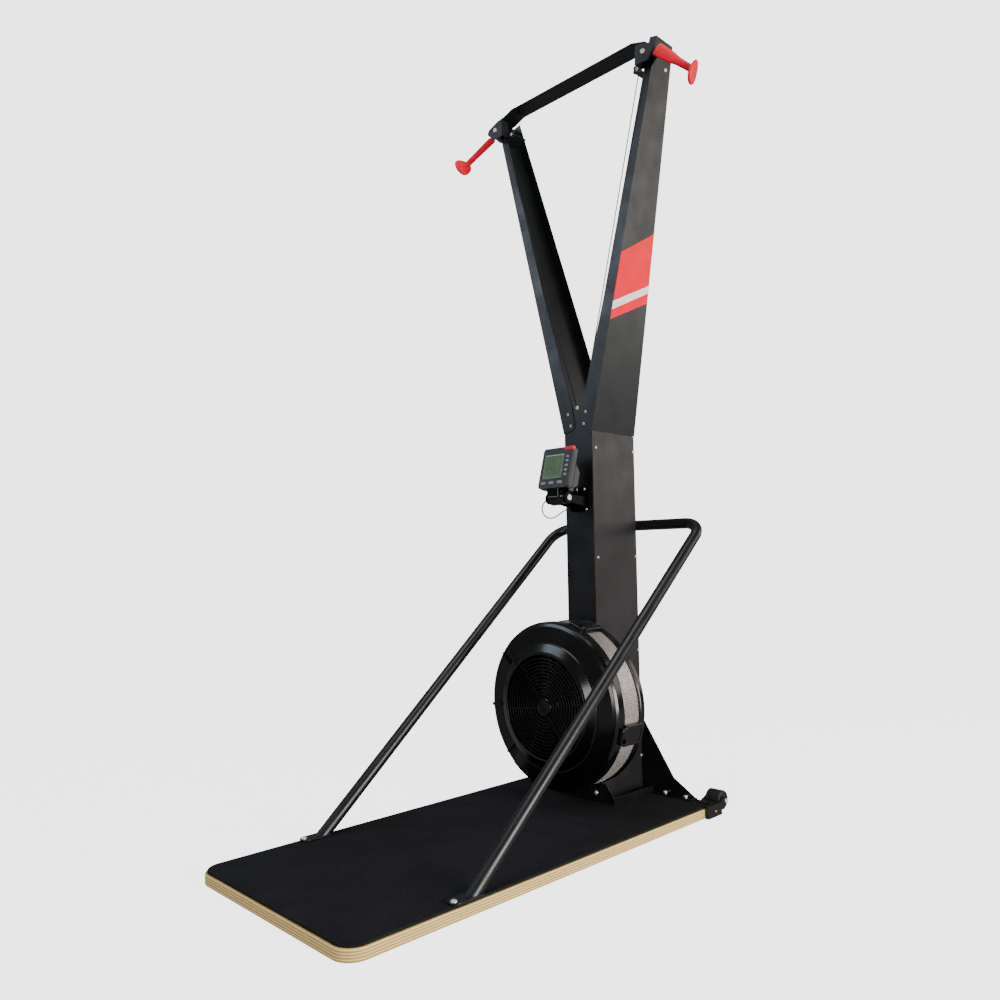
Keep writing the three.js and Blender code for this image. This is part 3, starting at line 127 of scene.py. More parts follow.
def finish_piece(name, mesh, material, smooth_angle=35, mended=True):
    """Merges doubles, points faces outwards, smooths up to an angle and links the piece."""
    if mended:
        with reworked(mesh) as work:
            bmesh.ops.remove_doubles(work, verts=work.verts, dist=1e-6)
            bmesh.ops.recalc_face_normals(work, faces=work.faces)
    mesh.materials.clear()
    mesh.materials.append(material)
    piece = bpy.data.objects.new(name, mesh)
    bpy.context.collection.objects.link(piece)
    return even_normals(piece, smooth_angle)


def new_piece(name, vertices, faces, material, smooth_angle=35):
    """A piece at the origin from vertices in millimetres."""
    mesh = bpy.data.meshes.new(name)
    mesh.from_pydata([tuple(Vector(v) * MM) for v in vertices], [], faces)
    return finish_piece(name, mesh, material, smooth_angle)


FLOOR_HALF = 12000
FLOOR_DROP = 0.5
FLOOR_GLOW = 3.1
AIR_LIGHT = 0.16
WALL_LIGHT = 3.3
studio_paper, tree, shader = start_material("studio_paper", "#a8a8a8", 0.9, ior=1.45)
seen = add_node(tree, "ShaderNodeLightPath").outputs["Is Camera Ray"]
table_light = add_node(tree, "ShaderNodeMapRange", {"Value": seen, "To Min": 0.0, "To Max": FLOOR_GLOW})
fill(shader, {"Emission Color": linear("#ffffff"), "Emission Strength": table_light})
floor = new_piece("studio_floor", [
    (x * FLOOR_HALF, y * FLOOR_HALF, -FLOOR_DROP) for x, y in ((-1, -1), (1, -1), (1, 1), (-1, 1))],
    [(0, 1, 2, 3)], studio_paper)
if floor.data.polygons[0].normal.z < 0:
    floor.data.flip_normals()

world = bpy.data.worlds.new("studio_air")
bpy.context.scene.world = world
world.use_nodes = True
air = world.node_tree
air.nodes.clear()
seen = add_node(air, "ShaderNodeLightPath").outputs["Is Camera Ray"]
glow = add_node(air, "ShaderNodeMapRange", {"Value": seen, "To Min": AIR_LIGHT, "To Max": WALL_LIGHT})
sky = add_node(air, "ShaderNodeBackground", {"Color": linear("#ffffff"), "Strength": glow})
add_node(air, "ShaderNodeOutputWorld", {"Surface": sky})

# Each lamp is a square in metres at a place, pointing at an aim, with its watts and colour.
for name, place, aim, size, power, colour in (
        ("right_lamp", (3.8, 0.2, 0.8), (0.0, 0.2, 0.7), 1.8, 205, "#fffaf5"),
        ("rear_lamp", (3.0, 3.9, 2.2), (0.1, 0.3, 1.3), 2.4, 52, "#fffaf5"),
        ("low_lamp", (0.6, -3.6, 0.6), (0.0, -0.6, 0.1), 1.0, 34, "#fff8ec"),
        ("front_lamp", (-2.7, -3.1, 3.1), (0.0, 0.2, 1.3), 1.8, 50, "#dcebff"),
        ("top_lamp", (0.0, -0.4, 4.4), (0.0, 0.3, 1.0), 2.4, 60, "#ffffff")):
    lamp = bpy.data.lights.new(name, "AREA")
    lamp.shape = "SQUARE"
    lamp.size = size
    lamp.energy = power
    lamp.color = linear(colour)[:3]
    holder = bpy.data.objects.new(name, lamp)
    holder.location = place
    holder.rotation_euler = (Vector(aim) - Vector(place)).to_track_quat("-Z", "Y").to_euler()
    bpy.context.collection.objects.link(holder)

# Camera at the photograph's place: low, in front of the board's right corner.
CAMERA_PLACE = Vector((1.613705, -1.544426, 0.72924))
CAMERA_AZIMUTH = 0.793
CAMERA_ELEVATION = -0.071
CAMERA_ROLL = -0.015
ahead = Vector((
    -math.sin(CAMERA_AZIMUTH) * math.cos(CAMERA_ELEVATION),
    math.cos(CAMERA_AZIMUTH) * math.cos(CAMERA_ELEVATION),
    -math.sin(CAMERA_ELEVATION)))
level_right = ahead.cross(Vector((0, 0, 1))).normalized()
level_up = level_right.cross(ahead)
camera_right = math.cos(CAMERA_ROLL) * level_right + math.sin(CAMERA_ROLL) * level_up
camera_up = -math.sin(CAMERA_ROLL) * level_right + math.cos(CAMERA_ROLL) * level_up
camera = bpy.data.objects.new("camera", bpy.data.cameras.new("camera"))
camera.data.sensor_width = 36
camera.data.lens = 30.19
camera.data.clip_end = 60
camera.matrix_world = Matrix.Translation(CAMERA_PLACE) @ Matrix(
    (camera_right, camera_up, -ahead)).transposed().to_4x4()
bpy.context.collection.objects.link(camera)
bpy.context.scene.camera = camera


# Monitor lead: a thin sensor cable with a soft PVC jacket. It leaves the wall
# plate, hangs in one free loop below the display and goes back up into its shell.
COLUMN_FRONT = 378.5
LEAD_WIDTH = 3.6
LEAD_ROUTE = [
    (-25, -6.5, 886), (-25.5, -15, 884), (-27.5, -27, 876), (-33, -41, 868), (-36, -55, 859),
    (-39, -69, 852), (-42, -83, 849), (-45, -96, 851), (-47, -106, 858), (-48, -112, 868),
    (-48, -113, 879), (-46.5, -110, 889), (-44.5, -105, 896.5), (-43, -100, 901)]


def finish(name, colour, roughness, drift, spread=None, grain=None, pattern="ShaderNodeTexNoise", **values):
    """A material whose tone drifts (first, second, mm) with a noise or follows the cells of another pattern.
    Its roughness may be uneven (mm, low, high) and it may have a grain (mm, depth, detail, strength)."""
    material, tree, shader = start_material(name, colour, roughness, **values)
    place = add_node(tree, "ShaderNodeTexCoord").outputs["Object"]
    first, second, size = drift
    share = add_node(tree, pattern, {"Vector": place, "Scale": 1 / (size * MM)})
    if pattern == "ShaderNodeTexNoise":
        fill(share, {"Detail": 4.0})
        share = add_node(tree, "ShaderNodeMapRange", {"Value": share, "From Min": 0.35, "From Max": 0.65})
    tones = {"Factor": share, 6: linear(first), 7: linear(second)}
    fill(shader, {"Base Color": add_node(tree, "ShaderNodeMix", tones, data_type="RGBA")})
    if spread:
        size, low, high = spread
        noise = add_node(tree, "ShaderNodeTexNoise", {
            "Vector": place, "Scale": 1 / (size * MM), "Detail": 3.0})
        fill(shader, {"Roughness": add_node(tree, "ShaderNodeMapRange", {
            "Value": noise, "From Min": 0.3, "From Max": 0.7, "To Min": low, "To Max": high})})
    if grain:
        size, depth, detail, strength = grain
        noise = add_node(tree, "ShaderNodeTexNoise", {
            "Vector": place, "Scale": 1 / (size * MM), "Detail": detail})
        fill(shader, {"Normal": add_node(tree, "ShaderNodeBump", {
            "Height": noise, "Distance": depth * MM, "Strength": strength})})
    return material


def mounted(piece, body="frame", node=None):
    """Hides the CAD node that a piece stands for, if one is named, and puts the piece on the body that carries
    it.
    """
    if node:
        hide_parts(node)
    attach(piece, body)
    return piece


def smooth_path(points, per_span):
    """A smooth curve through points, with per_span places for each span."""
    ends = [points[0] * 2 - points[1]] + points + [points[-1] * 2 - points[-2]]
    places = []
    for i in range(1, len(ends) - 2):
        before, here, after, beyond = ends[i - 1:i + 3]
        for step in range(per_span):
            t = step / per_span
            places.append(0.5 * ((2 * here) + (after - before) * t
                          + (2 * before - 5 * here + 4 * after - beyond) * t * t
                          + (3 * here - before - 3 * after + beyond) * t ** 3))
    return places + [points[-1]]


def skin(*stacks):
    """The vertices and faces of closed skins, each over a stack of rings of equally many places."""
    vertices, faces = [], []
    for rings in stacks:
        start, count = len(vertices), len(rings[0])
        vertices += [place for ring in rings for place in ring]
        for a in range(start, len(vertices) - count):
            b = a + 1 if (a + 1 - start) % count else a + 1 - count
            faces.append((a, b, b + count, a + count))
        faces.append(tuple(reversed(range(start, start + count))))
        faces.append(tuple(range(len(vertices) - count, len(vertices))))
    return vertices, faces


def swept_tube(name, path, radius, sides, material, smooth_angle=60):
    """A round tube along a path in millimetres, closed at both ends, with a UV in millimetres."""
    rings, rows = [], []
    side = (path[1] - path[0]).orthogonal().normalized()
    run = 0.0
    for i, place in enumerate(path):
        aim = (path[min(i + 1, len(path) - 1)] - path[max(i - 1, 0)]).normalized()
        side = (side - aim * side.dot(aim)).normalized()
        across = aim.cross(side)
        run += (place - path[i - 1]).length if i else 0.0
        rows.append(run)
        turns = [math.tau * step / sides for step in range(sides)]
        rings.append([place + radius * (math.cos(turn) * side + math.sin(turn) * across) for turn in turns])
    vertices, faces = skin(rings)
    mesh = bpy.data.meshes.new(name)
    mesh.from_pydata([tuple(v * MM) for v in vertices], [], faces)
    layer = mesh.uv_layers.new(name="run")
    around = math.tau * radius
    for polygon in mesh.polygons:
        steps = [mesh.loops[i].vertex_index % sides for i in polygon.loop_indices]
        wraps = 0 in steps and sides - 1 in steps
        for loop_index, step in zip(polygon.loop_indices, steps):
            ring = mesh.loops[loop_index].vertex_index // sides
            turn = sides if wraps and step == 0 else step
            layer.data[loop_index].uv = (around * turn / sides, rows[ring])
    return finish_piece(name, mesh, material, smooth_angle)


# Extruded PVC jacket: smooth, slightly rubbery black with faint handling marks.
pvc_jacket = finish("pvc_jacket", "#060607", 0.5, ("#050506", "#0a0a0c", 5), (6, 0.45, 0.6),
                    ior=1.53, specular=0.3)

lead_path = smooth_path([Vector((x, COLUMN_FRONT + y, z)) for x, y, z in LEAD_ROUTE], 8)
lead = swept_tube("monitor_lead_cable", lead_path, LEAD_WIDTH / 2, 12, pvc_jacket)
mounted(lead, node="monitor_lead")


# Drive cords: two braided polyester cords. Each one leaves its drum on the
# shaft, runs up the column and the arm over two pulleys and ends in its handle.
CORD_WIDTH = 3.0
CORD_CLEAR = 0.3
PULLEY_PLACE = Vector((297.04, 358.95, 2148))
IDLER_PLACE = Vector((19.8, 392.5, 1150))
PULLEY_GROOVE = 14.5
IDLER_GROOVE = 14.0
DRUM_GROOVE = 18.0
HUB_HEIGHT = 316
DRUM_PLACES = {"right": 432.4, "left": 412.1}
LEAD_FALLS = {"right": math.radians(33.3), "left": math.radians(42.2)}
LEAD_AHEADS = {"right": 6.8, "left": -2.4}
GRIP_REACHES = {"right": 35.2, "left": 39.0}
FIXED_SHARE = 0.8
DOWN_STEPS = 12
PULL_STEPS = 72
SIDES = {"right": 1, "left": -1}


def arc_places(heart, radius, first, last, steps):
    """Places on an arc in the plane of the pulleys, by angle from the x axis."""
    return [heart + radius * Vector((math.cos(turn), 0, math.sin(turn)))
            for turn in (first + (last - first) * step / steps for step in range(steps + 1))]


# Braided polyester: round, matt black, with the crossing of the strands as
# fine ridges. The strands are drawn at 1.5 mm, wider than real, so they show.
STRAND_WIDTH = 1.5
BRAID_SLOPE = math.radians(50)
braided_cord, tree, shader = start_material("braided_polyester_cord", "#0e0f10", 0.75, ior=1.45)
place = add_node(tree, "ShaderNodeUVMap", uv_map="run")
waves = []
for slope in (1, -1):
    turned_place = add_node(tree, "ShaderNodeMapping", {
        "Vector": place, "Rotation": (0, 0, slope * BRAID_SLOPE)})
    waves.append(add_node(tree, "ShaderNodeTexWave", {
        "Vector": turned_place, "Scale": 0.3 / STRAND_WIDTH}, bands_direction="X").outputs["Fac"])
crossing = add_node(tree, "ShaderNodeMath", {0: waves[0], 1: waves[1]}, operation="MAXIMUM")
ridges = add_node(tree, "ShaderNodeBump", {"Height": crossing, "Distance": 0.25 * MM, "Strength": 0.7})
fibre_tone = add_node(tree, "ShaderNodeMix", {
    "Factor": crossing, 6: linear("#08090a"), 7: linear("#1d1f22")}, data_type="RGBA")
fill(shader, {"Normal": ridges, "Base Color": fibre_tone})

pulley_run, idler_run, drum_run = (
    groove + CORD_CLEAR + CORD_WIDTH / 2 for groove in (PULLEY_GROOVE, IDLER_GROOVE, DRUM_GROOVE))
rise = PULLEY_PLACE - IDLER_PLACE
arm_turn = math.atan2(rise.x, rise.z) + math.asin((idler_run - pulley_run) / math.hypot(rise.x, rise.z))
grip_places = {}

for word, side in SIDES.items():
    mirror = Vector((side, 1, 1))
    fall, reach = LEAD_FALLS[word], GRIP_REACHES[word]
    leave_place = PULLEY_PLACE + pulley_run * Vector((math.sin(fall), 0, math.cos(fall)))
    grip_place = leave_place + Vector((reach * math.cos(fall), -LEAD_AHEADS[word], -reach * math.sin(fall)))
    grip_places[word] = grip_place
    fixed_end = leave_place.lerp(grip_place, FIXED_SHARE)
    low_arc = arc_places(IDLER_PLACE, idler_run, math.pi, math.pi - arm_turn, 8)
    top_arc = arc_places(PULLEY_PLACE, pulley_run, math.pi - arm_turn, math.pi / 2 - fall, 16)
    route = [p * mirror for p in low_arc + top_arc + [fixed_end]]
    drum_end = Vector((drum_run, DRUM_PLACES[word], HUB_HEIGHT))
    down = [drum_end.lerp(route[0], step / DOWN_STEPS) for step in range(DOWN_STEPS)]
    cord = swept_tube("drive_cord_" + word + "_braid", down + route, CORD_WIDTH / 2, 12, braided_cord)
    mounted(cord, node="drive_cord_" + word)
    # The length that a pull draws out is packed as close rings before the grip.
    stretch = [fixed_end.lerp(grip_place, step / PULL_STEPS) * mirror for step in range(PULL_STEPS + 1)]
    into_grip = stretch[-1] + (stretch[-1] - stretch[0]).normalized() * 4
    pulled = swept_tube("pull_cord_" + word, stretch + [into_grip], CORD_WIDTH / 2, 12, braided_cord)
    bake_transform(pulled)


# Platform board: nine-ply birch plywood, sawn to a rounded rectangle, its
# edges rounded over and lacquered clear, so the plies show all round.
BOARD_HALF = 300
BOARD_FRONT = -655.5
BOARD_REAR = 594.5
BOARD_CORNER = 48
BOARD_THICK = 26
BOARD_ROUND = 4
PLY_COUNT = 9


def rounded_slab(low, high, corner, edge, corner_steps=16, edge_steps=5, soft_below=True):
    """Vertices and faces of a slab with rounded corners and rolled edges, in millimetres."""
    low, high = Vector(low), Vector(high)
    turns = [math.pi / 2 * step / edge_steps for step in range(edge_steps + 1)]
    levels = [(edge * (1 - math.sin(turn)), edge * (1 - math.cos(turn))) for turn in turns]
    outlines = [(inset, low.z + up) for inset, up in levels] if soft_below else [(0, low.z)]
    outlines += [(inset, high.z - up) for inset, up in reversed(levels)]
    rings = []
    for inset, height in outlines:
        radius = max(corner - inset, 0.05)
        ring = []
        for x, y, first in (
                (high.x, high.y, 0), (low.x, high.y, 90), (low.x, low.y, 180), (high.x, low.y, 270)):
            heart_x = x - math.copysign(corner, x - (low.x + high.x) / 2)
            heart_y = y - math.copysign(corner, y - (low.y + high.y) / 2)
            for step in range(corner_steps + 1):
                turn = math.radians(first + 90 * step / corner_steps)
                ring.append((heart_x + radius * math.cos(turn), heart_y + radius * math.sin(turn), height))
        rings.append(ring)
    return skin(rings)


# Lacquered birch plywood: pale face plies along the board, darker end grain
# between them, thin glue lines, and a clear satin lacquer over all.
birch_plywood, tree, shader = start_material(
    "lacquered_birch_plywood", "#e6cf98", 0.42, ior=1.5, coat=0.15, coat_roughness=0.25)
place = add_node(tree, "ShaderNodeTexCoord").outputs["Object"]
wander = add_node(tree, "ShaderNodeTexNoise", {"Vector": place, "Scale": 1 / (60 * MM), "Detail": 2.0})
height = add_node(tree, "ShaderNodeSeparateXYZ", {"Vector": place}).outputs["Z"]
level = add_node(tree, "ShaderNodeMath", {0: wander, 1: 1.6 * MM, 2: height}, operation="MULTIPLY_ADD")
plies = add_node(tree, "ShaderNodeMath", {0: level, 1: PLY_COUNT / (BOARD_THICK * MM)}, operation="MULTIPLY")
pair = add_node(tree, "ShaderNodeMath", {0: plies, 1: 1.0}, operation="PINGPONG")
ply_row = add_node(tree, "ShaderNodeMath", {0: plies, 1: 2.0}, operation="FLOORED_MODULO")
cross_ply = add_node(tree, "ShaderNodeMath", {0: ply_row, 1: 1.0}, operation="GREATER_THAN")
glue_line = add_node(tree, "ShaderNodeMapRange", {
    "Value": pair, "From Min": 0.0, "From Max": 0.1, "To Min": 0.55, "To Max": 0.0})
fibre = add_node(tree, "ShaderNodeMapping", {"Vector": place, "Scale": (1.0, 0.05, 1.0)})
long_grain = add_node(tree, "ShaderNodeTexNoise", {"Vector": fibre, "Scale": 1 / (3 * MM), "Detail": 5.0})
end_grain = add_node(tree, "ShaderNodeTexNoise", {"Vector": place, "Scale": 1 / (1.4 * MM), "Detail": 2.0})
pale = add_node(tree, "ShaderNodeMix", {
    "Factor": long_grain, 6: linear("#f7e2a6"), 7: linear("#e6ca82")}, data_type="RGBA")
dark = add_node(tree, "ShaderNodeMix", {
    "Factor": end_grain, 6: linear("#d9b56c"), 7: linear("#a8803c")}, data_type="RGBA")
ply_tone = add_node(tree, "ShaderNodeMix", {
    "Factor": cross_ply, 6: pale, 7: dark}, data_type="RGBA")
with_glue = add_node(tree, "ShaderNodeMix", {
    "Factor": glue_line, 6: ply_tone, 7: linear("#6e5128")}, data_type="RGBA")
fibre_bump = add_node(tree, "ShaderNodeBump", {"Height": long_grain, "Distance": 0.15 * MM, "Strength": 0.4})
fill(shader, {"Normal": fibre_bump, "Base Color": with_glue})

board = new_piece("plywood_board", *rounded_slab(
    (-BOARD_HALF, BOARD_FRONT, 0), (BOARD_HALF, BOARD_REAR, BOARD_THICK), BOARD_CORNER, BOARD_ROUND,
    corner_steps=28), birch_plywood, 60)
mounted(board, node="platform_board")


# Grip mat: a 5 mm sheet of black rubber foam with an embossed pebble skin,
# die-cut a little smaller than the board and glued to it.
MAT_INSET = 5
MAT_LOW = 26.3
MAT_TOP = 31.3
MAT_EDGE = 1.8

# Embossed rubber foam: charcoal black, very matt, with a pebble of about 2 mm
# and pale dust in its hollows. The pebble is drawn at 3.5 mm so that it shows.
PEBBLE = 3.5
pebbled_rubber = finish(
    "pebbled_rubber_foam", "#121316", 0.85, ("#0e0f12", "#16171b", 90), ior=1.45, specular=0.25)
tree = pebbled_rubber.node_tree
shader = tree.nodes["Principled BSDF"]
worn = shader.inputs["Base Color"].links[0].from_socket
pebbles = add_node(tree, "ShaderNodeTexVoronoi", {
    "Vector": add_node(tree, "ShaderNodeTexCoord").outputs["Object"], "Scale": 1 / (PEBBLE * MM)},
    feature="SMOOTH_F1")
relief = add_node(tree, "ShaderNodeBump", {
    "Height": pebbles, "Distance": 0.7 * MM, "Strength": 0.7}, invert=True)
hollow = add_node(tree, "ShaderNodeMapRange", {
    "Value": pebbles, "From Min": 0.35, "From Max": 0.8, "To Min": 0.0, "To Max": 0.35})
dusty = add_node(tree, "ShaderNodeMix", {"Factor": hollow, 6: worn, 7: linear("#2a2b30")}, data_type="RGBA")
fill(shader, {"Normal": relief, "Base Color": dusty})

mat = new_piece("rubber_mat", *rounded_slab(
    (-BOARD_HALF + MAT_INSET, BOARD_FRONT + MAT_INSET, MAT_LOW),
    (BOARD_HALF - MAT_INSET, BOARD_REAR - MAT_INSET, MAT_TOP),
    BOARD_CORNER - MAT_INSET, MAT_EDGE, corner_steps=28, soft_below=False), pebbled_rubber, 60)
mounted(mat, node="grip_mat")


# Foot tray: a laser-cut steel plate under the column, folded up at the front
# and at both sides, bolted through the board and powder coated black.
FLAT_ANGLE = math.radians(0.5)
SHARP_ANGLE = math.radians(24)


def parted(work, place, aim, **cleared):
    """Cuts a mesh at a plane through a place in millimetres, and gives the edges of the cut."""
    cut = bmesh.ops.bisect_plane(work, geom=work.verts[:] + work.edges[:] + work.faces[:], dist=1e-7,
                                 plane_co=place * MM, plane_no=aim, **cleared)
    return [e for e in cut["geom_cut"] if isinstance(e, bmesh.types.BMEdge)]


def refined(node, material, body="frame", edge_mm=0.7, segments=2, name=None, cut=None):
    """A finished copy of a CAD piece, or of what lies in front of a cut (place, aim), its edges rounded."""
    name = name or node + "_piece"
    mesh = bpy.data.meshes.new(name)
    with reworked(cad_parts[node].data, mesh) as work:
        bmesh.ops.remove_doubles(work, verts=work.verts, dist=3e-6)
        if cut:
            bmesh.ops.holes_fill(work, edges=parted(work, cut[0], cut[1], clear_inner=True), sides=0)
        bmesh.ops.dissolve_limit(work, angle_limit=FLAT_ANGLE, verts=work.verts, edges=work.edges)
        sharp = [e for e in work.edges if len(e.link_faces) == 2 and e.calc_face_angle(0.0) > SHARP_ANGLE]
        bmesh.ops.bevel(work, geom=sharp, offset=edge_mm * MM, offset_type="OFFSET", segments=segments,
                        profile=0.5, affect="EDGES", clamp_overlap=True, loop_slide=False)
    piece = finish_piece(name, mesh, material, 40 if cut else 38, mended=bool(cut))
    return mounted(piece, body, None if cut else node)


def powder_coat(name, first, second, roughness, peel_depth=0.04):
    """Sprayed and baked polyester powder: an even tone with a faint orange peel."""
    return finish(name, first, roughness, (first, second, 160), (70, roughness - 0.06, roughness + 0.08),
                  (2.2, peel_depth, 1.0, 0.3), ior=1.5)


# Satin black powder coat: deep black, with soft long highlights on its folds.
satin_black = powder_coat("satin_black_powder_coat", "#07090b", "#0b0d10", 0.34, peel_depth=0.014)

refined("foot_tray", satin_black, edge_mm=0.8)

# Rear gusset: a 4 mm steel brace behind the column, cut as a wide triangle
# whose toes fold forward onto the board, bolted at both toes.
refined("rear_gusset", satin_black, edge_mm=0.8)


# Column: a folded steel front and back and two screwed-on side panels. Its
# front carries the fork on which both arms are bolted.
COLUMN_BREAK = 1030
COLUMN_TOP = 1107
JOINT_PLACE = 49.5
JOINT_THICK = 1.5
JOINT_DEPTH = (384, 578)
JOINT_HEIGHT = (COLUMN_TOP - 17, COLUMN_TOP + 9)

# Slate powder coat: blue-grey black, satin. The front sheet is drawn darker
# below the display, with a sharp edge between the two tones.
slate_coat = powder_coat("slate_powder_coat", "#0f1214", "#131618", 0.4)
column_coat = powder_coat("column_powder_coat", "#101416", "#14181a", 0.4)
tree = column_coat.node_tree
shader = tree.nodes["Principled BSDF"]
tone = shader.inputs["Base Color"].links[0].from_socket
place = add_node(tree, "ShaderNodeTexCoord").outputs["Object"]
height = add_node(tree, "ShaderNodeSeparateXYZ", {"Vector": place}).outputs["Z"]
above = add_node(tree, "ShaderNodeMapRange", {
    "Value": height, "From Min": (COLUMN_BREAK - 1) * MM, "From Max": (COLUMN_BREAK + 1) * MM})
split = add_node(tree, "ShaderNodeMix", {"Factor": above, 6: linear("#060608"), 7: tone}, data_type="RGBA")
fill(shader, {"Base Color": split})
# Panel powder coat: the same paint as the folded front, a little flatter, drawn neutral charcoal
# instead of slate: the warm light from the right is painted into its colour.
warm_lit_charcoal_coat = powder_coat("warm_lit_charcoal_powder_coat", "#141415", "#181819", 0.46)

refined("column_front", column_coat)
# The rear and side panels take the coat with the warm side light painted in.
refined("column_rear", warm_lit_charcoal_coat)
refined("side_panel_left", warm_lit_charcoal_coat, edge_mm=0.5)
refined("side_panel_right", warm_lit_charcoal_coat, edge_mm=0.5)

BLOCK_FACES = [(3, 2, 1, 0), (4, 5, 6, 7), (0, 1, 5, 4), (1, 2, 6, 5), (2, 3, 7, 6), (3, 0, 4, 7)]


def block_shape(name, xs, ys, zs, material):
    """A plain closed block between pairs of places in millimetres."""
    corners = [(xs[i], ys[j], z) for z in zs for i, j in ((0, 0), (1, 0), (1, 1), (0, 1))]
    return new_piece(name, corners, BLOCK_FACES, material)


# A thin dark sheet stands inside each joint of arm and side panel and closes the gap: painted shade where the
# gap lies in shade.
for word, side in SIDES.items():
    across = sorted((side * JOINT_PLACE, side * (JOINT_PLACE + JOINT_THICK)))
    shade_sheet = block_shape("joint_tongue_" + word, across, JOINT_DEPTH, JOINT_HEIGHT, warm_lit_charcoal_coat)
    mounted(shade_sheet)


# Arms: two tapered channels folded from steel sheet, leaning apart from the
# column's fork, with a red and white band of cut vinyl on each outer face.
ARM_LEAN = math.radians(13.77)
ARM_FOOT_REAR = (585.3, 1107.0)
ARM_HEAD_REAR = (455.7, 2199.0)
VINYL = 0.15
BAND_FRONT = 377.5
BAND_MARGIN = 1.0
BANDS = [  # Name, film, and the heights of the front upper, rear upper, rear lower and front lower corners.
    ("red_upper", "vinyl_red", (1612.5, 1696.5, 1550, 1476)),
    ("white", "vinyl_white", (1476, 1550, 1529, 1452)),
    ("red_lower", "vinyl_red", (1452, 1529, 1499.7, 1424.7))]

# Cut vinyl film: smooth and slightly glossy, red and white, on the paint.
vinyls = {name: finish(name, first, 0.35, (first, second, 50), (20, 0.3, 0.42), ior=1.5, specular=0.08)
          for name, first, second in (
              ("vinyl_red", "#f00c2a", "#f81230"), ("vinyl_white", "#f4f4f4", "#fafafa"))}

for word, side in SIDES.items():
    refined("arm_" + word, slate_coat)
    aim = Vector((side * math.cos(ARM_LEAN), 0, -math.sin(ARM_LEAN)))
    outer = max(v.co.dot(aim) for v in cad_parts["arm_" + word].data.vertices) / MM
    for name, film, heights in BANDS:
        flat = []
        for z, at_rear in zip(heights, (False, True, True, False)):
            share = (z - ARM_FOOT_REAR[1]) / (ARM_HEAD_REAR[1] - ARM_FOOT_REAR[1])
            rear = ARM_FOOT_REAR[0] + share * (ARM_HEAD_REAR[0] - ARM_FOOT_REAR[0]) - BAND_MARGIN
            x = (outer + z * math.sin(ARM_LEAN)) / math.cos(ARM_LEAN) * side
            flat.append(Vector((x, rear if at_rear else BAND_FRONT, z)))
        band = new_piece("arm_band_" + name + "_" + word, flat + [p + aim * VINYL for p in flat],
                         BLOCK_FACES, vinyls[film])
        mounted(band)


# Crossbar: a flat steel strip across both arm tops. Its ends are bent down on
# a press and go into the arm channels as narrower tongues.
BAR_TOP = 2206
BAR_THICK = 3
BAR_BEND = 243
BAR_FALL = math.radians(18.5)
BAR_SHOULDER = 291
BAR_TONGUE = 313
BAR_FRONT = 362.5
BAR_DEPTH = 65
TONGUE_FRONT = 378.8
BEND_RADIUS = 26
BEND_STEPS = 8


def on_bar_end(across):
    """A place on the middle of the bent-down end, at a distance across."""
    return Vector((across, bar_bend[-1].y - (across - bar_bend[-1].x) * math.tan(BAR_FALL)))


def rounded_prism(name, outline, ends, edge_mm, material, along_x=False, from_angle=0):
    """An outline drawn out along y, or along x, with its edges over an angle rounded."""
    count = len(outline)
    vertices = [(run, *p) if along_x else (p[0], run, p[1]) for run in ends for p in outline]
    faces = [tuple(range(count)), tuple(reversed(range(count, 2 * count)))]
    faces += [(i, (i + 1) % count, (i + 1) % count + count, i + count) for i in range(count)]
    piece = new_piece(name, vertices, faces, material)
    with reworked(piece.data) as work:
        rims = [e for e in work.edges if e.calc_face_angle(0.0) > math.radians(from_angle)]
        bmesh.ops.bevel(work, geom=rims, offset=edge_mm * MM, segments=3, profile=0.5, affect="EDGES")
    return even_normals(piece, 38)


def steel_strip(name, middle, front, rear, thick, material):
    """A flat strip that follows places (x, z) from front to rear, its edges rounded."""
    upper, lower = [], []
    for i, place in enumerate(middle):
        along = (middle[min(i + 1, len(middle) - 1)] - middle[max(i - 1, 0)]).normalized()
        out = Vector((-along.y, along.x)) * thick / 2
        upper.append(place + out)
        lower.append(place - out)
    return rounded_prism(name, upper + lower[::-1], (front, rear), 0.9, material, from_angle=60)


bar_heart = Vector((BAR_BEND - BEND_RADIUS * math.tan(BAR_FALL / 2), BAR_TOP - BAR_THICK / 2 - BEND_RADIUS))
bar_turns = [BAR_FALL * step / BEND_STEPS for step in range(BEND_STEPS + 1)]
bar_bend = [bar_heart + BEND_RADIUS * Vector((math.sin(turn), math.cos(turn))) for turn in bar_turns]
half_bar = [Vector((0, BAR_TOP - BAR_THICK / 2))] + bar_bend + [on_bar_end(BAR_SHOULDER)]
whole_bar = [Vector((-p.x, p.y)) for p in reversed(half_bar[1:])] + half_bar
strip = steel_strip("crossbar_strip", whole_bar, BAR_FRONT, BAR_FRONT + BAR_DEPTH, BAR_THICK, slate_coat)
mounted(strip, node="crossbar")
for word, side in SIDES.items():
    ends = [Vector((side * p.x, p.y)) for p in (on_bar_end(BAR_SHOULDER - 4), on_bar_end(BAR_TONGUE))]
    mounted(steel_strip("crossbar_tongue_" + word, ends, TONGUE_FRONT, BAR_FRONT + BAR_DEPTH - 1.2,
                        BAR_THICK - 0.4, slate_coat))


# Pulley housings: a bracket of folded steel at each arm top that holds the
# pulley on its pin, bolted through its tab above a sloping cord plate.
# The pulleys are turned nylon with a half-round groove.
PULLEY_SIZES = (4.3, PULLEY_GROOVE, 18, 10, 1.6)
IDLER_SIZES = (4.3, IDLER_GROOVE, 17, 9, 1.4)


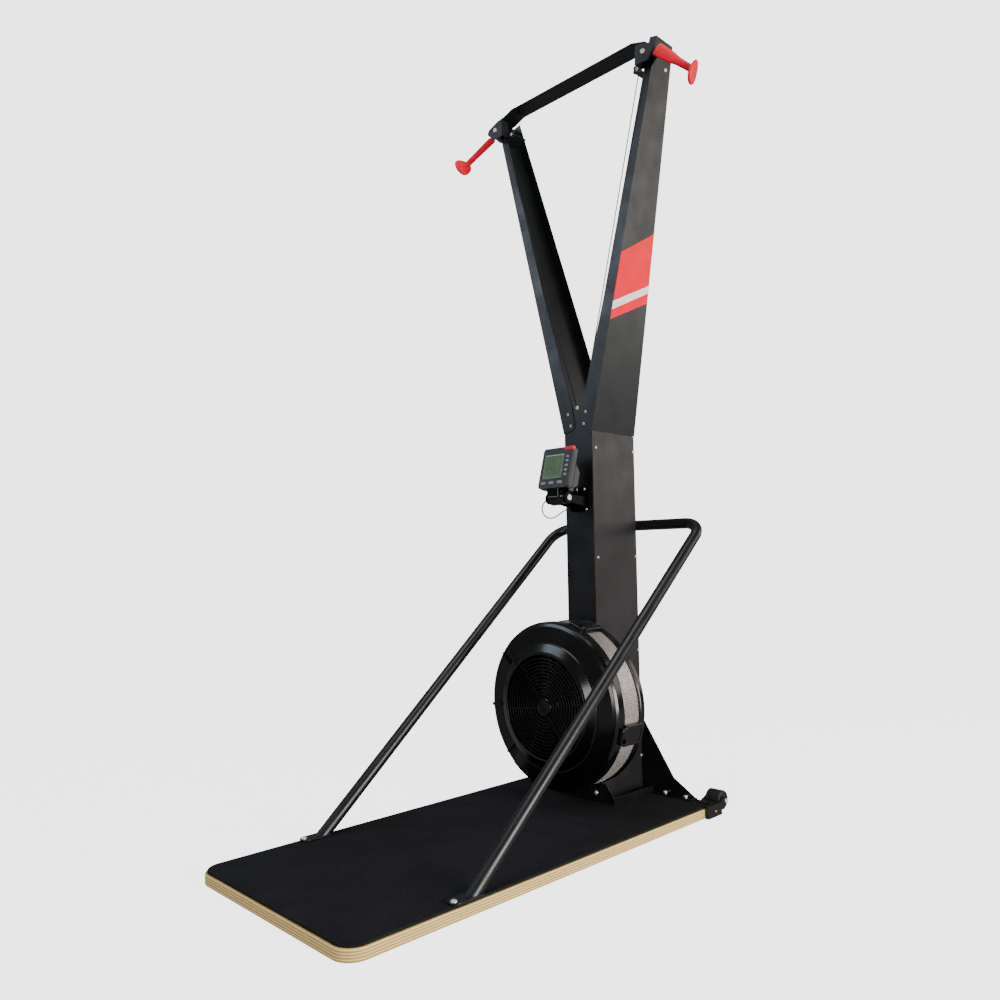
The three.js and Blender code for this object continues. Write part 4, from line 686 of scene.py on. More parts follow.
def turned_piece(name, profile, centre, material, aim="y", steps=64, smooth_angle=32, closed=True):
    """A profile of (radius, place along the axis) in millimetres, turned about the axis through centre."""
    vertices, faces = [], []
    for step in range(steps):
        turn = math.tau * step / steps
        for radius, along in profile:
            first, second = radius * math.cos(turn), radius * math.sin(turn)
            offset = (first, along, second) if aim == "y" else (along, first, second)
            vertices.append(Vector(centre) + Vector(offset))
    count = len(profile)
    for step in range(steps):
        here, after = step * count, (step + 1) % steps * count
        for i in range(count if closed else count - 1):
            faces.append((here + i, here + (i + 1) % count, after + (i + 1) % count, after + i))
    return new_piece(name, vertices, faces, material, smooth_angle)


def filleted(corners, steps=4):
    """A closed outline whose corners (x, y, radius) are rounded."""
    rounded = []
    for i, corner in enumerate(corners):
        here = Vector(corner[:2])
        if len(corner) < 3:
            rounded.append(tuple(here))
            continue
        back = Vector(corners[i - 1][:2]) - here
        onward = Vector(corners[(i + 1) % len(corners)][:2]) - here
        half = back.angle(onward) / 2
        reach = min(corner[2] / math.tan(half), 0.49 * back.length, 0.49 * onward.length)
        middle = (back.normalized() + onward.normalized()).normalized()
        heart = here + middle * reach * math.tan(half) / math.sin(half)
        first = here + back.normalized() * reach - heart
        swing = first.angle_signed(here + onward.normalized() * reach - heart)
        turns = [-swing * step / steps for step in range(steps + 1)]
        rounded += [tuple(heart + Matrix.Rotation(turn, 2) @ first) for turn in turns]
    return rounded


def grooved_profile(bore, groove, rim, width, lip):
    """A wheel's section with a rounded groove for the cord."""
    half = width / 2
    bed = CORD_WIDTH / 2 + 0.2
    turns = [math.pi * step / 8 for step in range(9)]
    return [(bore, -half), (rim - 0.6, -half), (rim, -half + 0.5), (rim, -half + lip)] + [
        (groove + bed * (1 - math.sin(turn)), -bed * math.cos(turn)) for turn in turns] + [
        (rim, half - lip), (rim, half - 0.5), (rim - 0.6, half), (bore, half)]


# Glass-filled nylon: dull black, finely pitted, polished where the cord runs.
pulley_nylon = finish("glass_filled_nylon", "#121314", 0.5, ("#0f1011", "#17181a", 12), (4, 0.38, 0.58),
                      (0.8, 0.04, 2.0, 0.5), ior=1.53)

for word, side in SIDES.items():
    refined("pulley_housing_" + word, slate_coat, edge_mm=0.5)
    for kind, sizes, heart, body in (("top_pulley_", PULLEY_SIZES, PULLEY_PLACE, "top_pulley_"),
                                     ("idler_pulley_", IDLER_SIZES, IDLER_PLACE, "idler_")):
        wheel = turned_piece(kind + word + "_wheel", grooved_profile(*sizes), heart * Vector((side, 1, 1)),
                             pulley_nylon, steps=72)
        mounted(wheel, body + word, kind + word)


# Cord drums, spring cases and bearings: turned steel drums with the spare cord
# wound on them, each beside a flat pressed case that holds its return spring.
SHAFT_BORE = 8.8
DRUM_FLANGE = 25
DRUM_WIDTH = 20
DRUM_FLANGE_THICK = 2
DRUM_TURNS = 4
CASE_PLACES = {"left": 395.8, "right": 448.7}
CASE_HALF = 6
CASE_SIDE = [(SHAFT_BORE, 0), (14, 0), (16, 1), (28, 1), (30.5, 0.4), (32, 2)]

# Zinc-plated steel: bright, with the fine rings that turning leaves and a
# slightly blue, uneven sheen from the plating.
zinc_steel = finish("zinc_plated_steel", "#a9adb2", 0.28, ("#9da1a8", "#b9bcbe", 9), (5, 0.22, 0.36),
                    (0.5, 0.01, 2.0, 0.5), metallic=1.0)

half = DRUM_WIDTH / 2
bed = (DRUM_WIDTH - 2 * DRUM_FLANGE_THICK) / DRUM_TURNS
drum_section = [(SHAFT_BORE, -half), (DRUM_FLANGE, -half), (DRUM_FLANGE, -half + DRUM_FLANGE_THICK)]
for wound in range(DRUM_TURNS):
    middle = -half + DRUM_FLANGE_THICK + bed * (wound + 0.5)
    for turn in (math.pi * step / 6 for step in range(7)):
        drum_section.append((DRUM_GROOVE - 0.6 + 1.2 * math.sin(turn), middle - bed / 2 * math.cos(turn)))
drum_section += [(DRUM_FLANGE, half - DRUM_FLANGE_THICK), (DRUM_FLANGE, half), (SHAFT_BORE, half)]
case_section = [(radius, inset - CASE_HALF) for radius, inset in CASE_SIDE]
case_section += [(radius, -along) for radius, along in reversed(case_section)]
for word, place in DRUM_PLACES.items():
    drum = turned_piece("cord_drum_" + word + "_turned", drum_section, (0, place, HUB_HEIGHT), zinc_steel)
    mounted(drum, "drum_" + word, "cord_drum_" + word)
    case = turned_piece("spring_case_" + word + "_pressed", case_section, (0, CASE_PLACES[word], HUB_HEIGHT),
                        satin_black)
    mounted(case, node="spring_case_" + word)

refined("bearing_front", zinc_steel, edge_mm=0.5)
refined("bearing_rear", zinc_steel, edge_mm=0.5)
refined("bearing_flange", satin_black, edge_mm=0.8)
refined("rear_bearing_bracket", satin_black, edge_mm=0.6)


# Pull handles: one injection moulding each, an oval grip that widens to its
# flat cord end and to an egg-shaped hand stop, with a soft rounded junction.
GRIP_LENGTH = 132
GRIP_SHARES = [0, 0.012, 0.1, 0.35, 0.62, 0.82, 0.92, 1]
GRIP_WIDTHS = [16.4, 18.2, 18.2, 16.2, 11, 9.6, 9.6, 12.5]
GRIP_DEPTHS = [6, 7.2, 7.6, 8, 9.4, 9.8, 10, 12.5]
GRIP_SQUARE = 0.86
GRIP_TURNS = {"right": (43.2, -17, 14.5), "left": (23.8, 5.6, 72.5)}
GRIP_LEADS = {"right": 0, "left": -6}
STOP_LENGTH = 64
STOP_WIDTH = 59
STOP_THICK = 10
STOP_HEEL = 25.6
STOP_LEAN = math.radians(20.5)
STOP_TAPER = 0.3
MOULD_VOXEL = 1.1

# Moulded polypropylene: strong red all through, a satin spark-eroded grain,
# and a lighter worn sheen where hands rub it.
red_polypropylene = finish(
    "moulded_red_polypropylene", "#e80a2c", 0.45, ("#e00828", "#ee0e32", 30), (25, 0.4, 0.52),
    (1.0, 0.03, 3.0, 0.4), ior=1.49, specular=0.35)


def value_at(share, values):
    """A smooth reading between the values listed for the grip's shares."""
    i = next(i for i, upper in enumerate(GRIP_SHARES[1:]) if share <= upper)
    t = (share - GRIP_SHARES[i]) / (GRIP_SHARES[i + 1] - GRIP_SHARES[i])
    return values[i] + (values[i + 1] - values[i]) * t * t * (3 - 2 * t)


def handle_skin(lead):
    """The grip from lead to its stop, two closed skins that meet, in the handle's own frame."""
    grip, stop = [], []
    for share in (step / 48 for step in range(49)):
        ring = []
        for turn in (math.tau * around / 40 for around in range(40)):
            across, up = (math.copysign(abs(v) ** GRIP_SQUARE, v) for v in (math.cos(turn), math.sin(turn)))
            ring.append(Vector((value_at(share, GRIP_WIDTHS) * across, value_at(share, GRIP_DEPTHS) * up,
                                lead + share * (GRIP_LENGTH - lead))))
        grip.append(ring)
    long_way = Vector((-math.cos(STOP_LEAN), 0, math.sin(STOP_LEAN)))
    normal = Vector((math.sin(STOP_LEAN), 0, math.cos(STOP_LEAN)))
    broad = normal.cross(long_way)
    edge = STOP_THICK / 2
    stop_foot = Vector((0, 0, GRIP_LENGTH - edge))
    for roll in (math.pi * step / 12 for step in range(13)):
        inset = edge * (1 - math.sin(roll))
        level = edge * (1 - math.cos(roll))
        ring = []
        for turn in (math.tau * around / 56 for around in range(56)):
            along = (STOP_LENGTH / 2 - inset) * math.cos(turn) + STOP_LENGTH / 2 - STOP_HEEL
            across = (STOP_WIDTH / 2 - inset) * math.sin(turn) * (1 + STOP_TAPER * math.cos(turn))
            ring.append(long_way * along + broad * across + normal * level + stop_foot)
        stop.append(ring)
    return skin(grip, stop)


for word, side in SIDES.items():
    fall, forward, twist = (math.radians(v) for v in GRIP_TURNS[word])
    ahead = math.cos(forward)
    aim = Vector((math.cos(fall) * ahead, -math.sin(forward), -math.sin(fall) * ahead))
    back = (Vector((0, 1, 0)) - aim * aim.y).normalized()
    wide = aim.cross(back) * math.cos(twist) + back * math.sin(twist)
    thin = aim.cross(wide)
    vertices, faces = handle_skin(GRIP_LEADS[word])
    to_grip = Matrix((wide, thin, aim)).transposed()
    placed = [(grip_places[word] + to_grip @ v) * Vector((side, 1, 1)) for v in vertices]
    handle = new_piece("handle_" + word + "_moulding", placed, faces, red_polypropylene, 60)
    merge = handle.modifiers.new("one_skin", "REMESH")
    merge.mode = "VOXEL"
    merge.voxel_size = MOULD_VOXEL * MM
    soften = handle.modifiers.new("soften", "SMOOTH")
    soften.factor = 0.5
    soften.iterations = 7
    moulded = kept_result(handle)
    moulded.polygons.foreach_set("use_smooth", [True] * len(moulded.polygons))
    mounted(handle, "handle_" + word, "handle_" + word)


# Flywheel cover: a stiff ABS moulding whose middle is an open grille of rings
# and spokes; a window on its left shows the damper ring and its lever.
CAGE_FRONT = 204.5
CAGE_RADIUS = 235
CAGE_WALL = 3
COVER_DEPTH = 62
GRILLE_RADIUS = 144
COLLAR_END = 52
RING_COUNT = 11
RING_WIDTH = 3
RING_DEPTH = 5
GRILLE_HUB = 26
SPOKE_COUNT = 6
SPOKE_TURN = math.radians(7.6)
WINDOW = (math.radians(136), math.radians(230))
WINDOW_INNER = 179
WINDOW_OUTER = 240
WINDOW_DEPTH = (-5, 32.7)
FIN_TURNS = (144, 221)
FIN_HALF = 1.5
FIN_SIDE = [(178, 15), (178, 30), (233, 30), (233, 27)]
CAGE_CENTRE = Vector((0, CAGE_FRONT, HUB_HEIGHT))

# Gloss black ABS: jet black, polished mould, with a very faint ripple and fine
# dust that breaks up the reflections.
gloss_abs = finish("gloss_black_abs", "#030304", 0.2, ("#020203", "#050506", 60), (40, 0.16, 0.22),
                   (90, 0.3, 0.0, 0.15), ior=1.54, specular=0.38)
# Textured black ABS: dull black from an eroded mould.
matt_abs = finish("textured_black_abs", "#070708", 0.5, ("#060607", "#0b0b0d", 40), (20, 0.44, 0.56),
                  (1.0, 0.04, 3.0, 0.4), ior=1.54, specular=0.35)

shell = turned_piece("front_cover_shell", filleted([
    (144, 0, 1.2), (149, 0, 1.5), (152.5, 3, 3), (175, 13, 3), (177, 16, 1), (180, 15.6, 1), (222, 24, 5),
    (231, 27.5, 3), (CAGE_RADIUS, 36, 5), (CAGE_RADIUS, 54, 0.8), (CAGE_RADIUS - 1, 55.5, 0.8),
    (CAGE_RADIUS - 1, 60, 0.5), (CAGE_RADIUS, COVER_DEPTH, 0.5),
    (CAGE_RADIUS - CAGE_WALL, COVER_DEPTH), (CAGE_RADIUS - CAGE_WALL, 38.5, 3), (222, 27, 3),
    (180, 18.6, 1), (175, 18, 1), (151, 8), (151, COLLAR_END), (148, COLLAR_END), (148, RING_DEPTH),
    (144, RING_DEPTH)], 5), CAGE_CENTRE, gloss_abs, steps=192)


def outward(turn):
    """The directions out from the flywheel's axis and along its rim, at an angle from the x axis."""
    return Vector((math.cos(turn), 0, math.sin(turn))), Vector((-math.sin(turn), 0, math.cos(turn)))


def combined(piece, others, operation):
    """Joins other closed pieces to one, or cuts them from it, and keeps the result as its mesh."""
    for other in others:
        step = piece.modifiers.new(operation.lower(), "BOOLEAN")
        step.operation = operation
        step.solver = "EXACT"
        step.object = other
    kept_result(piece)
    for other in others:
        bpy.data.objects.remove(other)
    return even_normals(piece, 34)


window_rings = []
for turn in (WINDOW[0] + (WINDOW[1] - WINDOW[0]) * step / 48 for step in range(49)):
    out = outward(turn)[0]
    window_rings.append([CAGE_CENTRE + out * radius + Vector((0, along, 0)) for radius, along in (
        (WINDOW_INNER, WINDOW_DEPTH[0]), (WINDOW_OUTER, WINDOW_DEPTH[0]),
        (WINDOW_OUTER, WINDOW_DEPTH[1]), (WINDOW_INNER, WINDOW_DEPTH[1]))])
combined(shell, [new_piece("window_cutter", *skin(window_rings), gloss_abs)], "DIFFERENCE")


def tree_with_inputs(name, inputs):
    """A Geometry Nodes tree with named inputs, what its first node gives, and its last node."""
    tree = bpy.data.node_groups.new(name, "GeometryNodeTree")
    tree.interface.new_socket(name="Geometry", in_out="INPUT", socket_type="NodeSocketGeometry")
    for label, kind, value in inputs:
        socket = tree.interface.new_socket(name=label, in_out="INPUT", socket_type="NodeSocket" + kind)
        if value is not None:
            socket.default_value = value
    tree.interface.new_socket(name="Geometry", in_out="OUTPUT", socket_type="NodeSocketGeometry")
    return tree, tree.nodes.new("NodeGroupInput").outputs, tree.nodes.new("NodeGroupOutput")


def close_tree(tree, given, end, geometry):
    """Ends a tree with Realize Instances and Set Material."""
    real = add_node(tree, "GeometryNodeRealizeInstances", {"Geometry": geometry})
    painted = add_node(tree, "GeometryNodeSetMaterial", {"Geometry": real, "Material": given["Material"]})
    fill(end, {"Geometry": painted})


def grown_piece(name, tree, values, carrier=None, smooth_angle=35, body="frame"):
    """Runs a tree on a carrier mesh and keeps its result as one plain piece on a body."""
    piece = bpy.data.objects.new(name, carrier or bpy.data.meshes.new(name))
    bpy.context.collection.objects.link(piece)
    maker = piece.modifiers.new("made", "NODES")
    maker.node_group = tree
    for item in tree.interface.items_tree:
        if item.item_type == "SOCKET" and item.in_out == "INPUT" and item.name in values:
            maker[item.identifier] = values[item.name]
    kept_result(piece)
    return mounted(even_normals(piece, smooth_angle), body)


tree, given, end = tree_with_inputs("cover_grille", [
    ("Rings", "Int", RING_COUNT), ("Hub radius", "Float", GRILLE_HUB * MM),
    ("Outer radius", "Float", GRILLE_RADIUS * MM), ("Bar width", "Float", RING_WIDTH * MM),
    ("Bar depth", "Float", RING_DEPTH * MM), ("Spokes", "Int", SPOKE_COUNT),
    ("First turn", "Float", SPOKE_TURN), ("Centre", "Vector", (0, 0, 0)), ("Material", "Material", None)])
span = add_node(tree, "ShaderNodeMath", {
    0: given["Outer radius"], 1: given["Hub radius"]}, operation="SUBTRACT")
more = add_node(tree, "ShaderNodeMath", {0: given["Rings"], 1: 1.0}, operation="ADD")
pitch = add_node(tree, "ShaderNodeMath", {0: span, 1: more}, operation="DIVIDE")
ring_points = add_node(tree, "GeometryNodeMeshLine", {
    "Count": given["Rings"], "Offset": (0, 0, 0)}, mode="OFFSET")
number = add_node(tree, "GeometryNodeInputIndex")
step_out = add_node(tree, "ShaderNodeMath", {0: number, 1: 1.0}, operation="ADD")
ring_radius = add_node(tree, "ShaderNodeMath", {
    0: step_out, 1: pitch, 2: given["Hub radius"]}, operation="MULTIPLY_ADD")
unit_ring = add_node(tree, "GeometryNodeCurvePrimitiveCircle", {"Resolution": 128, "Radius": 1.0})
rings = add_node(tree, "GeometryNodeInstanceOnPoints", {
    "Points": ring_points, "Instance": unit_ring, "Scale": ring_radius})
spoke_points = add_node(tree, "GeometryNodeMeshLine", {
    "Count": given["Spokes"], "Offset": (0, 0, 0)}, mode="OFFSET")
spoke_step = add_node(tree, "ShaderNodeMath", {0: math.tau, 1: given["Spokes"]}, operation="DIVIDE")
spoke_turn = add_node(tree, "ShaderNodeMath", {
    0: number, 1: spoke_step, 2: given["First turn"]}, operation="MULTIPLY_ADD")
spoke_round = add_node(tree, "ShaderNodeCombineXYZ", {"Z": spoke_turn})
spoke_start = add_node(tree, "ShaderNodeCombineXYZ", {"X": given["Hub radius"]})
spoke_end = add_node(tree, "ShaderNodeCombineXYZ", {"X": given["Outer radius"]})
spoke_line = add_node(tree, "GeometryNodeCurvePrimitiveLine", {"Start": spoke_start, "End": spoke_end})
spokes = add_node(tree, "GeometryNodeInstanceOnPoints", {
    "Points": spoke_points, "Instance": spoke_line, "Rotation": spoke_round})
lines = add_node(tree, "GeometryNodeJoinGeometry", {"Geometry": rings})
fill(lines, {"Geometry": spokes})
drawn = add_node(tree, "GeometryNodeRealizeInstances", {"Geometry": lines})
bar = add_node(tree, "GeometryNodeCurvePrimitiveQuadrilateral", {
    "Width": given["Bar width"], "Height": given["Bar depth"]})
bar_edge = add_node(tree, "ShaderNodeMath", {0: given["Bar width"], 1: 0.3}, operation="MULTIPLY")
bar_round = add_node(tree, "GeometryNodeFilletCurve", {
    "Curve": bar, "Count": 2, "Radius": bar_edge}, mode="POLY")
bars = add_node(tree, "GeometryNodeCurveToMesh", {
    "Curve": drawn, "Profile Curve": bar_round, "Fill Caps": True})
upright = add_node(tree, "GeometryNodeTransform", {
    "Geometry": bars, "Rotation": (math.radians(90), 0, 0), "Translation": given["Centre"]})
close_tree(tree, given, end, upright)

grown_piece("front_cover_grille", tree, {
    "Centre": (CAGE_CENTRE + Vector((0, RING_DEPTH / 2, 0))) * MM, "Material": gloss_abs})
hub_cap = turned_piece("front_cover_hub", [
    (0, -2), (20, -2), (21.5, -1.5), (24, -1.2), (25.4, 0.2), (GRILLE_HUB, 2), (GRILLE_HUB, RING_DEPTH),
    (0, RING_DEPTH)], CAGE_CENTRE, gloss_abs, closed=False)
fins = []
for degrees in FIN_TURNS:
    out, along = outward(math.radians(degrees))
    corners = [CAGE_CENTRE + out * r + Vector((0, y, 0)) + w for w in (along * FIN_HALF, -along * FIN_HALF)
               for r, y in FIN_SIDE]
    fins.append(new_piece("front_cover_fin_%d" % len(fins), corners, BLOCK_FACES, gloss_abs))
for part in [shell, hub_cap] + fins:
    mounted(part, node="front_cover" if part is shell else None)


# Damper: a flat black ABS ring behind the cover that turns on its sleeve, with
# a moulded lever in the window; its holes let more or less air in.
refined("damper_ring", matt_abs, "damper", 0.6)


# Flywheel: a steel disc with twenty riveted vanes on a turned hub, keyed to a
# bright shaft that runs in two bearings through the column.
# Bare rolled steel, phosphated dark, with faint streaks along the vanes.
vane_steel = finish("phosphated_steel_sheet", "#3c3e41", 0.45, ("#2e3033", "#4a4c50", 18), (12, 0.36, 0.55),
                    metallic=0.9)
refined("flywheel_rotor", vane_steel, "flywheel", 0.3)
refined("flywheel_shaft", zinc_steel, "flywheel", 0.5)


# Air band: perforated steel strip rolled to a hoop between the two covers; air
# from the vanes leaves through its staggered holes.
BAND_RADIUS = 231.5
BAND_THICK = 1.5
BAND_START = 62.3
BAND_END = 125.7
BAND_COLUMNS = 276
BAND_ROWS = 12
HOLE_SHARE = 0.31
SPANGLE = 8

# Perforated galvanised strip: pale warm grey, softly reflecting, with the
# spangle of the zinc as faint patches about 8 mm across.
galvanised = finish("perforated_galvanised_steel", "#d8d4d0", 0.42, ("#cdc6c1", "#aaa39e", SPANGLE),
                    (14, 0.36, 0.5), metallic=0.6, pattern="ShaderNodeTexVoronoi")

tree, given, end = tree_with_inputs("perforated_band", [
    ("Pairs", "Int", BAND_COLUMNS // 2), ("Strip", "Object", None), ("Centre", "Vector", (0, 0, 0)),
    ("Material", "Material", None)])
pair_points = add_node(tree, "GeometryNodeMeshLine", {
    "Count": given["Pairs"], "Offset": (0, 0, 0)}, mode="OFFSET")
pair_step = add_node(tree, "ShaderNodeMath", {0: math.tau, 1: given["Pairs"]}, operation="DIVIDE")
pair_turn = add_node(tree, "ShaderNodeMath", {
    0: add_node(tree, "GeometryNodeInputIndex"), 1: pair_step}, operation="MULTIPLY")
pair_round = add_node(tree, "ShaderNodeCombineXYZ", {"Y": pair_turn})
strip_shape = add_node(tree, "GeometryNodeObjectInfo", {"Object": given["Strip"]}).outputs["Geometry"]
pairs = add_node(tree, "GeometryNodeInstanceOnPoints", {
    "Points": pair_points, "Instance": strip_shape, "Rotation": pair_round})
whole = add_node(tree, "GeometryNodeRealizeInstances", {"Geometry": pairs})
seamed = add_node(tree, "GeometryNodeMergeByDistance", {"Geometry": whole, "Distance": 1e-5})
in_place = add_node(tree, "GeometryNodeTransform", {"Geometry": seamed, "Translation": given["Centre"]})
close_tree(tree, given, end, in_place)


def strip_pair():
    """Two columns of holes, the second half a pitch lower, as one curved strip with its rims."""
    vertices, faces = [], []
    column_turn = math.tau / BAND_COLUMNS
    row = (BAND_END - BAND_START) / BAND_ROWS
    rim_places = [(0, 0), (0.5, 0), (1, 0), (1, 0.5), (1, 1), (0.5, 1), (0, 1), (0, 0.5)]
    hole_turns = [math.radians(45 * i - 135) for i in range(8)]

    def corner(radius, turn, along):
        vertices.append((radius * math.cos(turn), along, radius * math.sin(turn)))
        return len(vertices) - 1

    def between(first, second, spans):
        """Faces between two rows of places, round and back to the start or only part of the way."""
        faces.extend((first[i], first[(i + 1) % 8], second[(i + 1) % 8], second[i]) for i in spans)

    def cell(first_turn, low, tall, pierced):
        rims, holes = [], []
        for radius in (BAND_RADIUS, BAND_RADIUS - BAND_THICK):
            rims.append([corner(radius, first_turn + x * column_turn, low + y * tall) for x, y in rim_places])
            middle_turn, middle, reach = first_turn + column_turn / 2, low + tall / 2, HOLE_SHARE * row
            holes.append([corner(radius, middle_turn + reach * math.cos(turn) / radius,
                                 middle + reach * math.sin(turn)) for turn in hole_turns])
        if pierced:
            between(rims[0], holes[0], range(8))
            between(rims[1], holes[1], range(8))
            between(holes[0], holes[1], range(8))
        else:
            faces.extend([tuple(rims[0]), tuple(rims[1])])
        if low <= BAND_START + 1e-6:
            between(rims[0], rims[1], range(2))
        if low + tall >= BAND_END - 1e-6:
            between(rims[0], rims[1], range(4, 6))

    for place in range(BAND_ROWS):
        cell(0.0, BAND_START + place * row, row, True)
    for place in range(BAND_ROWS - 1):
        cell(column_turn, BAND_START + (place + 0.5) * row, row, True)
    cell(column_turn, BAND_START, row / 2, False)
    cell(column_turn, BAND_END - row / 2, row / 2, False)
    return vertices, faces


pair_strip = new_piece("band_strip", *strip_pair(), galvanised)
air_band = grown_piece("air_band_perforated", tree, {
    "Strip": pair_strip, "Centre": CAGE_CENTRE * MM, "Material": galvanised})
bpy.data.objects.remove(pair_strip)
with reworked(air_band.data) as work:
    bmesh.ops.remove_doubles(work, verts=work.verts, dist=2e-6)
    bmesh.ops.delete(work, geom=[v for v in work.verts if not v.link_faces], context="VERTS")
    bmesh.ops.recalc_face_normals(work, faces=work.faces)
even_normals(air_band)
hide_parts("mesh_band")


# Rear cover: the matching ABS moulding behind the band, with a rolled rim and
# stiffening steps around the hole for the bearing boss.
rear_shell = turned_piece("rear_cover_shell", filleted([
    (CAGE_RADIUS, 126, 0.5), (CAGE_RADIUS - 1, 128, 0.5), (CAGE_RADIUS - 1, 132, 0.5),
    (CAGE_RADIUS, 134, 0.8), (CAGE_RADIUS, 148, 5), (224, 164, 5), (120, 164, 1), (117, 162.5, 1),
    (90, 162.5, 1), (87, 164, 1), (31, 164), (31, 161), (86, 161, 1), (91, 159.5, 1), (116, 159.5, 1),
    (121, 161, 1), (221, 161, 4), (232, 146.5, 4), (232, 126)], 5), CAGE_CENTRE, gloss_abs, steps=192)
mounted(rear_shell, node="rear_cover")


# Rim clips: three moulded ABS caps that bridge the band and hold the covers
# together, each with a raised latch nose over the front rim and a tool slot in it.
CLIP_TURNS = (-14, 70, 250)

clip_cap, nose, slit, groove = (
    new_piece("clip_" + name, *rounded_slab(*sizes), gloss_abs) for name, *sizes in (
        ("cap", (-29, 57, 229), (29, 135, 243.5), 8, 3.5, 8, 5, False),
        ("nose", (-24, 41, 225), (24, 67, 246), 9, 4, 8, 5, False),
        ("slot", (-17, 46, 238), (-4, 59, 250), 2.5, 0.6, 5, 2),
        ("groove", (-20, 76, 242.3), (20, 128, 250), 6, 0.6, 6, 2)))
combined(clip_cap, [nose], "UNION")
combined(clip_cap, [slit, groove], "DIFFERENCE")
cap_faces = [tuple(p.vertices) for p in clip_cap.data.polygons]
for number, degrees in enumerate(CLIP_TURNS, 1):
    out, along = outward(math.radians(degrees))
    to_rim = Matrix((along, (0, 1, 0), out)).transposed()
    places = [CAGE_CENTRE + to_rim @ (v.co / MM) for v in clip_cap.data.vertices]
    clip = new_piece("rim_clip_%d_cap" % number, places, cap_faces, gloss_abs, 34)
    mounted(clip, node="rim_clip_%d" % number)
bpy.data.objects.remove(clip_cap)


# Support hoop: one bent steel tube from the board's front edge up behind the
# column and back, its ends cut flat and welded to bolted foot plates.
HOOP_RADIUS = 16
HOOP_FOOT = Vector((282.5, -333.5, 31.3))
HOOP_CORNER = Vector((282.5, 598.8, 829))
HOOP_BEND = 62
HOOP_BEYOND = 58
LEG_STEPS = 16
BEND_PARTS = 20
CROSS_STEPS = 12
PAD_LOW = 31.6
PAD_TOP = 36.6
PAD_HALF = 18
PAD_FRONT = -395.5
PAD_REAR = -303.5

down = (HOOP_FOOT - HOOP_CORNER).normalized()
inward = Vector((-1, 0, 0))
half_angle = down.angle(inward) / 2
reach = HOOP_BEND / math.tan(half_angle)
heart = HOOP_CORNER + (down + inward).normalized() * HOOP_BEND / math.sin(half_angle)
first_arm = HOOP_CORNER + down * reach - heart
last_arm = HOOP_CORNER + inward * reach - heart
turn_axis = first_arm.cross(last_arm).normalized()
bend_turns = [first_arm.angle(last_arm) * step / BEND_PARTS for step in range(BEND_PARTS + 1)]
bend = [heart + Matrix.Rotation(turn, 3, turn_axis) @ first_arm for turn in bend_turns]
leg_end = HOOP_FOOT + down * HOOP_BEYOND
right_run = [leg_end.lerp(bend[0], step / LEG_STEPS) for step in range(LEG_STEPS)] + bend
to_left = Vector((-1, 1, 1))
cross_run = [bend[-1].lerp(bend[-1] * to_left, step / CROSS_STEPS) for step in range(1, CROSS_STEPS)]
hoop = swept_tube("support_hoop_tube", right_run + cross_run + [p * to_left for p in reversed(right_run)],
                  HOOP_RADIUS, 32, satin_black, smooth_angle=40)
with reworked(hoop.data) as work:
    rim = parted(work, Vector((0, 0, PAD_LOW)), (0, 0, -1), clear_outer=True)
    for side in SIDES.values():
        bmesh.ops.contextual_create(work, geom=[e for e in rim if e.verts[0].co.x * side > 0])
    bmesh.ops.recalc_face_normals(work, faces=work.faces)
even_normals(hoop, 40)
mounted(hoop, node="support_hoop")
for word, side in SIDES.items():
    middle = side * HOOP_FOOT.x
    mounted(new_piece("hoop_pad_" + word, *rounded_slab(
        (middle - PAD_HALF, PAD_FRONT, PAD_LOW), (middle + PAD_HALF, PAD_REAR, PAD_TOP), PAD_HALF - 0.5, 1.4,
        corner_steps=12), satin_black, 40))

# Hoop saddle: a pressed steel strap that holds the hoop's cross tube against
# the back of the column with two bolts.
refined("hoop_saddle", satin_black, edge_mm=0.6)


# Monitor: two ABS shells screwed together around a segment display, with
# rubber keys, a red tab and a hinge barrel on its neck.
MONITOR_PLACE = Vector((0, 256.5, 934))
MONITOR_TURN = Matrix.Rotation(math.radians(-15.5), 3, "X")
HINGE_PLACE = Vector((0, 285.5, 905))
SHELL_FOOT = 0.02
SCREEN_LEFT, SCREEN_RIGHT = -46.2, 26.8
SCREEN_TOP, SCREEN_LOW = 103.8, 30.1
CRYSTAL_MARGIN = 1.6
CRYSTAL_HEAD = 4
SEGMENT_OUT = -0.18


def on_monitor(across, up, out=0.0):
    """A place in the monitor's leaning frame: across, up its face, and out of it."""
    return MONITOR_PLACE + MONITOR_TURN @ Vector((across, -out, up))


# Blue-black ABS: a fine eroded grain, satin.
slate_abs = finish("slate_textured_abs", "#10171a", 0.5, ("#0f1619", "#141c1f", 30), (15, 0.46, 0.56),
                   (0.7, 0.03, 2.0, 0.3), ior=1.54)
# Grey ABS: the same grain in a mid grey.
grey_abs = finish("grey_textured_abs", "#303032", 0.5, ("#2d2d2f", "#353537", 30), (15, 0.44, 0.58),
                  (0.7, 0.04, 2.0, 0.5), ior=1.54)
# Silicone rubber keys: soft, matt, dark slate drawn pale grey as a painted highlight so they show.
pale_highlight_key_rubber = finish("highlight_pale_silicone_rubber", "#808184", 0.5, ("#77787b", "#8d8e91", 6),
                    grain=(0.5, 0.02, 2.0, 0.5), ior=1.41)
# Display window: clear acrylic over a grey mask, faintly reflecting.
display_mask = finish("acrylic_over_grey_mask", "#6f746b", 0.25, ("#6a6f66", "#757a71", 20), (10, 0.2, 0.32),
                      ior=1.49, coat=0.3)
# Reflective liquid crystal: grey-green, and its cells dark where they are on.
crystal_green = finish("liquid_crystal_green", "#4c6740", 0.4, ("#48633c", "#516c45", 25), (10, 0.34, 0.46),
                       ior=1.5, specular=0.3)
crystal_dark = finish("liquid_crystal_segment", "#1c2818", 0.4, ("#1a2616", "#222f1e", 12), (10, 0.34, 0.46),
                      ior=1.5)

